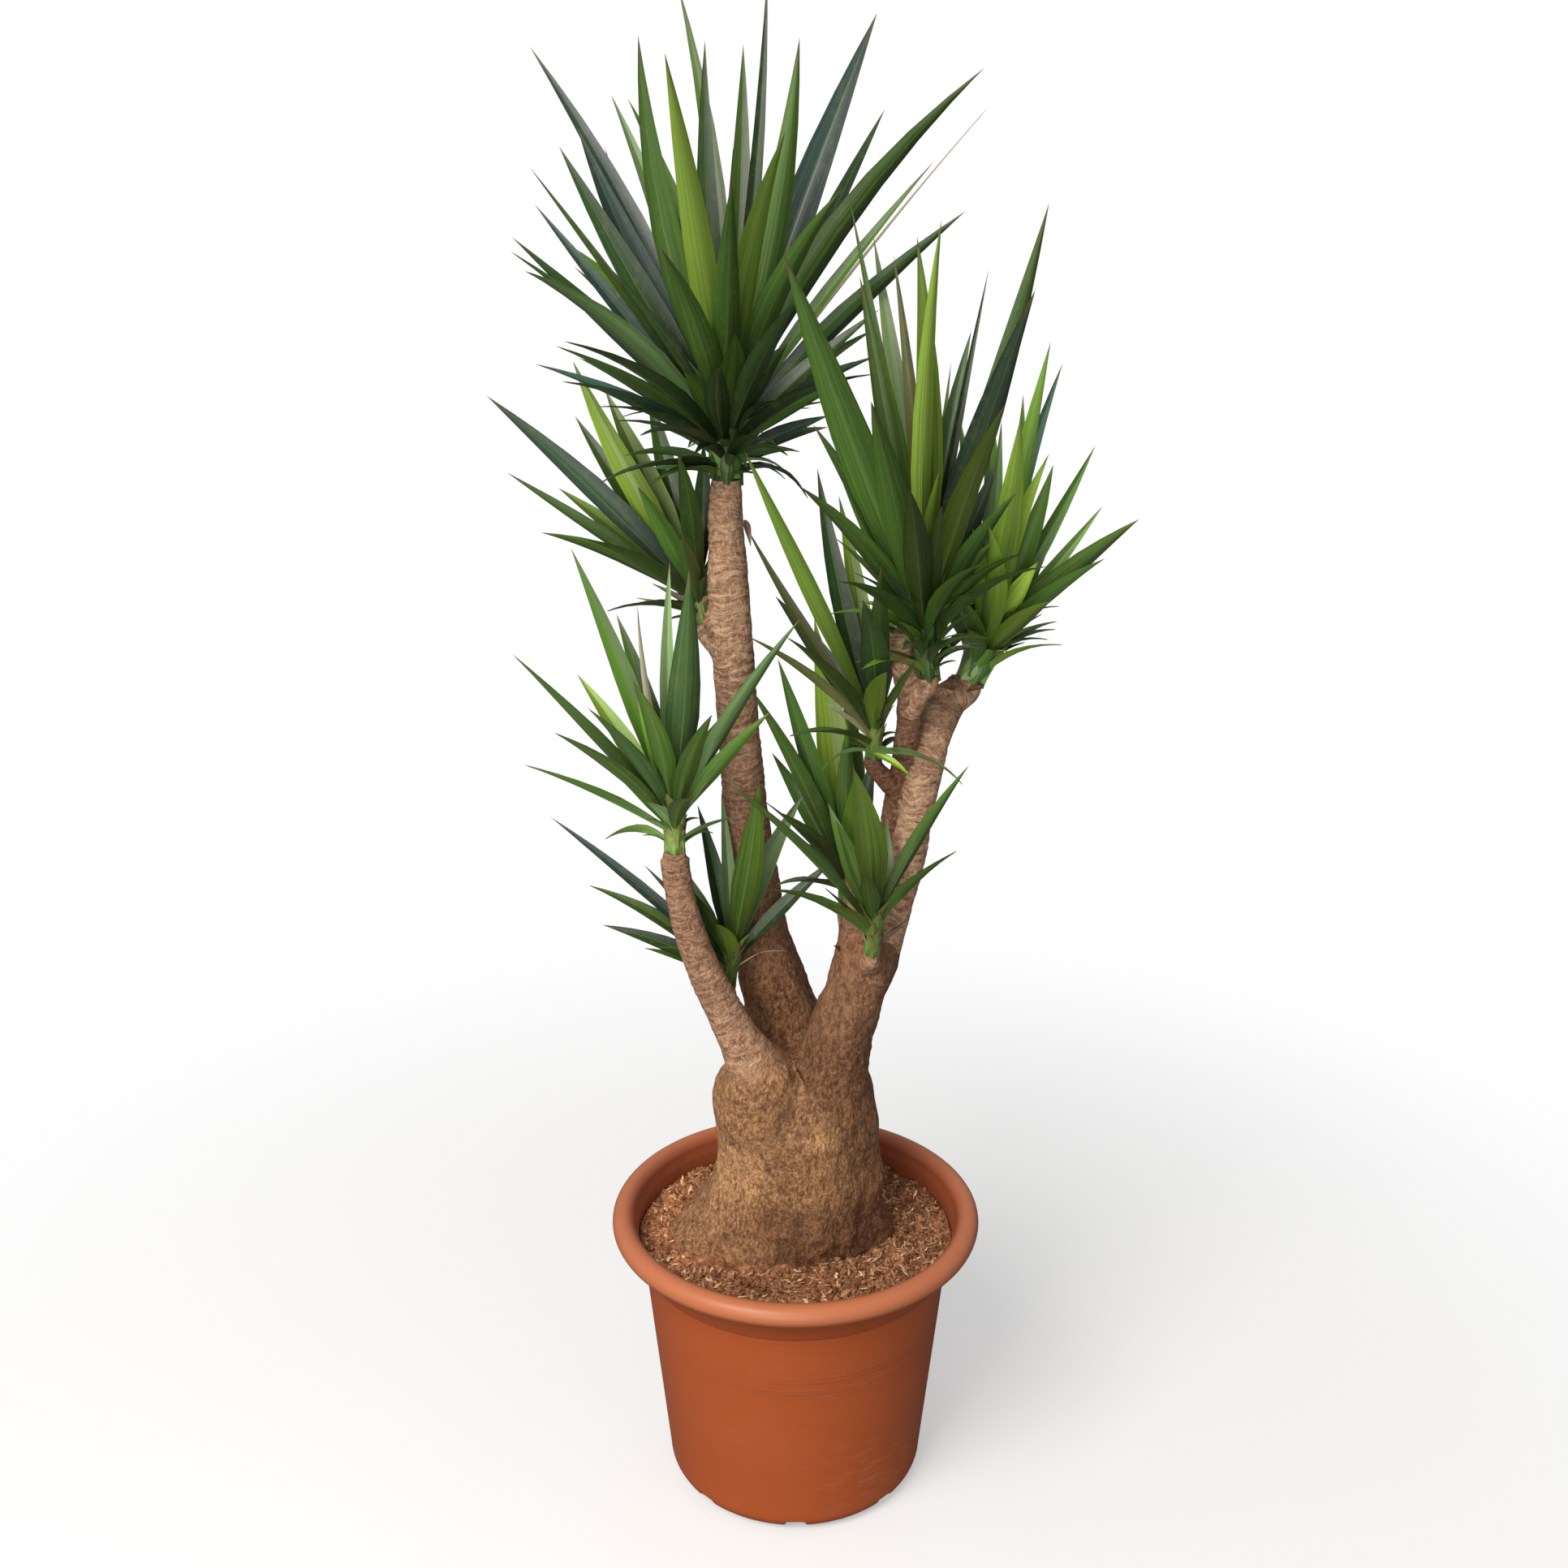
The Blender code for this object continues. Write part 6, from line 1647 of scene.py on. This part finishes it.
def add_light(name, place, size, power, tint):
    """A square soft light that looks at the plant's middle."""
    lamp = bpy.data.lights.new(name, "AREA")
    lamp.size, lamp.energy, lamp.color = size, power, tint
    made = bpy.data.objects.new(name, lamp)
    aim = np.array((0.0, 0.0, 0.9)) - np.array(place)
    back = -aim / np.linalg.norm(aim)
    side = np.cross((0.0, 0.0, 1.0), back)
    side /= np.linalg.norm(side)
    turn = Matrix(np.stack([side, np.cross(back, side), back], axis=1).tolist()).to_4x4()
    made.matrix_world = Matrix.Translation(place) @ turn
    bpy.context.scene.collection.objects.link(made)


def add_camera(scene, settings):
    """The camera in front of the plant, looking down at it a little, and plain display colours."""
    view = bpy.data.cameras.new("front_camera")
    view.sensor_width = 36.0
    view.lens = settings.lens
    view.clip_start, view.clip_end = 0.05, 100.0
    camera = bpy.data.objects.new("front_camera", view)
    camera.location = (settings.camera_x, settings.camera_y, settings.camera_z)
    camera.rotation_euler = (math.pi / 2 - settings.look_down, 0.0, 0.0)
    scene.collection.objects.link(camera)
    scene.camera = camera
    scene.view_settings.view_transform = "Standard"
    scene.view_settings.look = "None"


# Operators and panel

class YUCCA_OT_tub(bpy.types.Operator):
    """Make the rolled-rim tub"""
    bl_idname = "yucca.tub"
    bl_label = "Tub"

    def execute(self, context):
        settings = context.scene.yucca_tub
        shape, values = tub_surface(settings)
        add_piece("rolled_rim_tub", shape, clay_plastic(settings), values, replaces=("tub",))
        return {"FINISHED"}


class YUCCA_OT_soil(bpy.types.Operator):
    """Make the potting mix with its loose crumbs and flakes, with painted light at the left"""
    bl_idname = "yucca.soil"
    bl_label = "Potting Mix"

    def execute(self, context):
        tub, settings = context.scene.yucca_tub, context.scene.yucca_soil
        finish = potting_mix()
        for name, (shape, tint) in (("potting_mix", soil_surface(tub, settings)),
                                    ("mix_crumbs", crumbs(tub, settings)),
                                    ("coir_flakes", chip_flakes(tub, settings))):
            # Painted light: the mix is lighter at the left, where the rim's shadow falls
            painted_light_left = 1 + 0.38 * ramp(shape[0][:, :1], -0.09, -0.05)
            add_piece(name, shape, finish, colours={"tint": tint * painted_light_left},
                      replaces=("soil",) if name == "potting_mix" else ())
        return {"FINISHED"}


class YUCCA_OT_trunk(bpy.types.Operator):
    """Make the swollen foot, the stems and the cut stumps"""
    bl_idname = "yucca.trunk"
    bl_label = "Trunk"

    def execute(self, context):
        settings = context.scene.yucca_trunk
        heads = {head[0]: head for head in HEADS}
        stems = list(BARE_STEMS)
        for name, stem in (*STEM_OF_HEAD.items(), *SIDE_SPROUTS.items()):
            stems.append((seated(stem, heads[name]), STEM_AGES.get(name, YOUNG)))
        bodies = [(foot_field, 0.075)] + [(stem_field(path), path[0][3]) for path, _ in stems]
        made = [foot_surface(bodies, settings)]
        for k, (path, age) in enumerate(stems):
            made.append(stem_surface(path, k + 1, bodies, settings, age, k < len(BARE_STEMS)))
        values = {key: np.concatenate([part[1][key] for part in made]) for key in made[0][1]}
        add_piece("ringed_trunk", joined([part[0] for part in made]), bark_finish(settings), values,
                  replaces=("trunk",))
        return {"FINISHED"}


class YUCCA_OT_heads(bpy.types.Operator):
    """Make the nine heads of leaves, each on its green core"""
    bl_idname = "yucca.heads"
    bl_label = "Heads of Leaves"

    def execute(self, context):
        settings = context.scene.yucca_leaf
        finish = leaf_finish()
        for k, head in enumerate(HEADS):
            leaves = head_leaves(head)
            if not leaves:
                raise RuntimeError(f"no leaf of {head[0]} was found in the packed part")
            leaves += sheaths(head, settings.sheaths) + small_leaves(head)
            for name, start, end, *looks in SMALL_BITS:
                if name == head[0]:
                    leaves.append((np.array(start), np.array(end), np.array((0.0, -0.6, 0.8)), *looks))
            shape, tint, values = blades(leaves, settings, 100 + k)
            core, core_tint, core_values = head_core(head, settings)
            values = {key: np.concatenate([values[key], core_values[key]]) for key in values}
            # Painted light and shade on the whole head
            tints = np.concatenate([tint, core_tint]) * HEAD_PAINTED_LIGHT.get(head[0], 1.0)
            add_piece(head[0] + "_leaves", joined([shape, core]), finish, values, {"tint": tints},
                      replaces=(head[0],))
        return {"FINISHED"}


class YUCCA_OT_stage(bpy.types.Operator):
    """Make the floor, the lights and the camera"""
    bl_idname = "yucca.stage"
    bl_label = "Stage"

    def execute(self, context):
        scene, settings = context.scene, context.scene.yucca_stage
        add_piece("studio_floor", floor_surface(), floor_finish(settings), stage=True)
        add_sky(scene, settings)
        add_light("key_light", (-1.65, -2.50, 3.35), 2.2, settings.key, (1.0, 0.975, 0.93))
        add_light("fill_light", (-0.6, -3.2, 0.8), 2.0, settings.fill, (1.0, 0.98, 0.95))
        add_camera(scene, settings)
        return {"FINISHED"}


class YUCCA_PT_panel(bpy.types.Panel):
    """Lists the yucca's pieces"""
    bl_label = "Potted Yucca"
    bl_idname = "YUCCA_PT_panel"
    bl_space_type = "VIEW_3D"
    bl_region_type = "UI"
    bl_category = "Yucca"

    def draw(self, context):
        for group in ("yucca_tub", "yucca_soil", "yucca_trunk", "yucca_leaf", "yucca_stage"):
            box = self.layout.box()
            box.label(text=group.split("_")[1].title())
            settings = getattr(context.scene, group)
            for key in settings.__annotations__:
                box.prop(settings, key)
        for operator in OPERATORS:
            self.layout.operator(operator.bl_idname)


SETTINGS = {
    "yucca_tub": YuccaTubSettings,
    "yucca_soil": YuccaSoilSettings,
    "yucca_trunk": YuccaTrunkSettings,
    "yucca_leaf": YuccaLeafSettings,
    "yucca_stage": YuccaStageSettings,
}
OPERATORS = (YUCCA_OT_tub, YUCCA_OT_soil, YUCCA_OT_trunk, YUCCA_OT_heads, YUCCA_OT_stage)


def register():
    for key, group in SETTINGS.items():
        bpy.utils.register_class(group)
        setattr(bpy.types.Scene, key, PointerProperty(type=group))
    for kind in (*OPERATORS, YUCCA_PT_panel):
        bpy.utils.register_class(kind)


def unregister():
    for kind in (YUCCA_PT_panel, *reversed(OPERATORS)):
        bpy.utils.unregister_class(kind)
    for key, group in reversed(SETTINGS.items()):
        delattr(bpy.types.Scene, key)
        bpy.utils.unregister_class(group)


def main():
    """Makes the plant and its stage."""
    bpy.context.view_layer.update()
    register()
    bpy.ops.yucca.tub()
    bpy.ops.yucca.soil()
    bpy.ops.yucca.trunk()
    bpy.ops.yucca.heads()
    bpy.ops.yucca.stage()


if __name__ == "__main__":
    main()
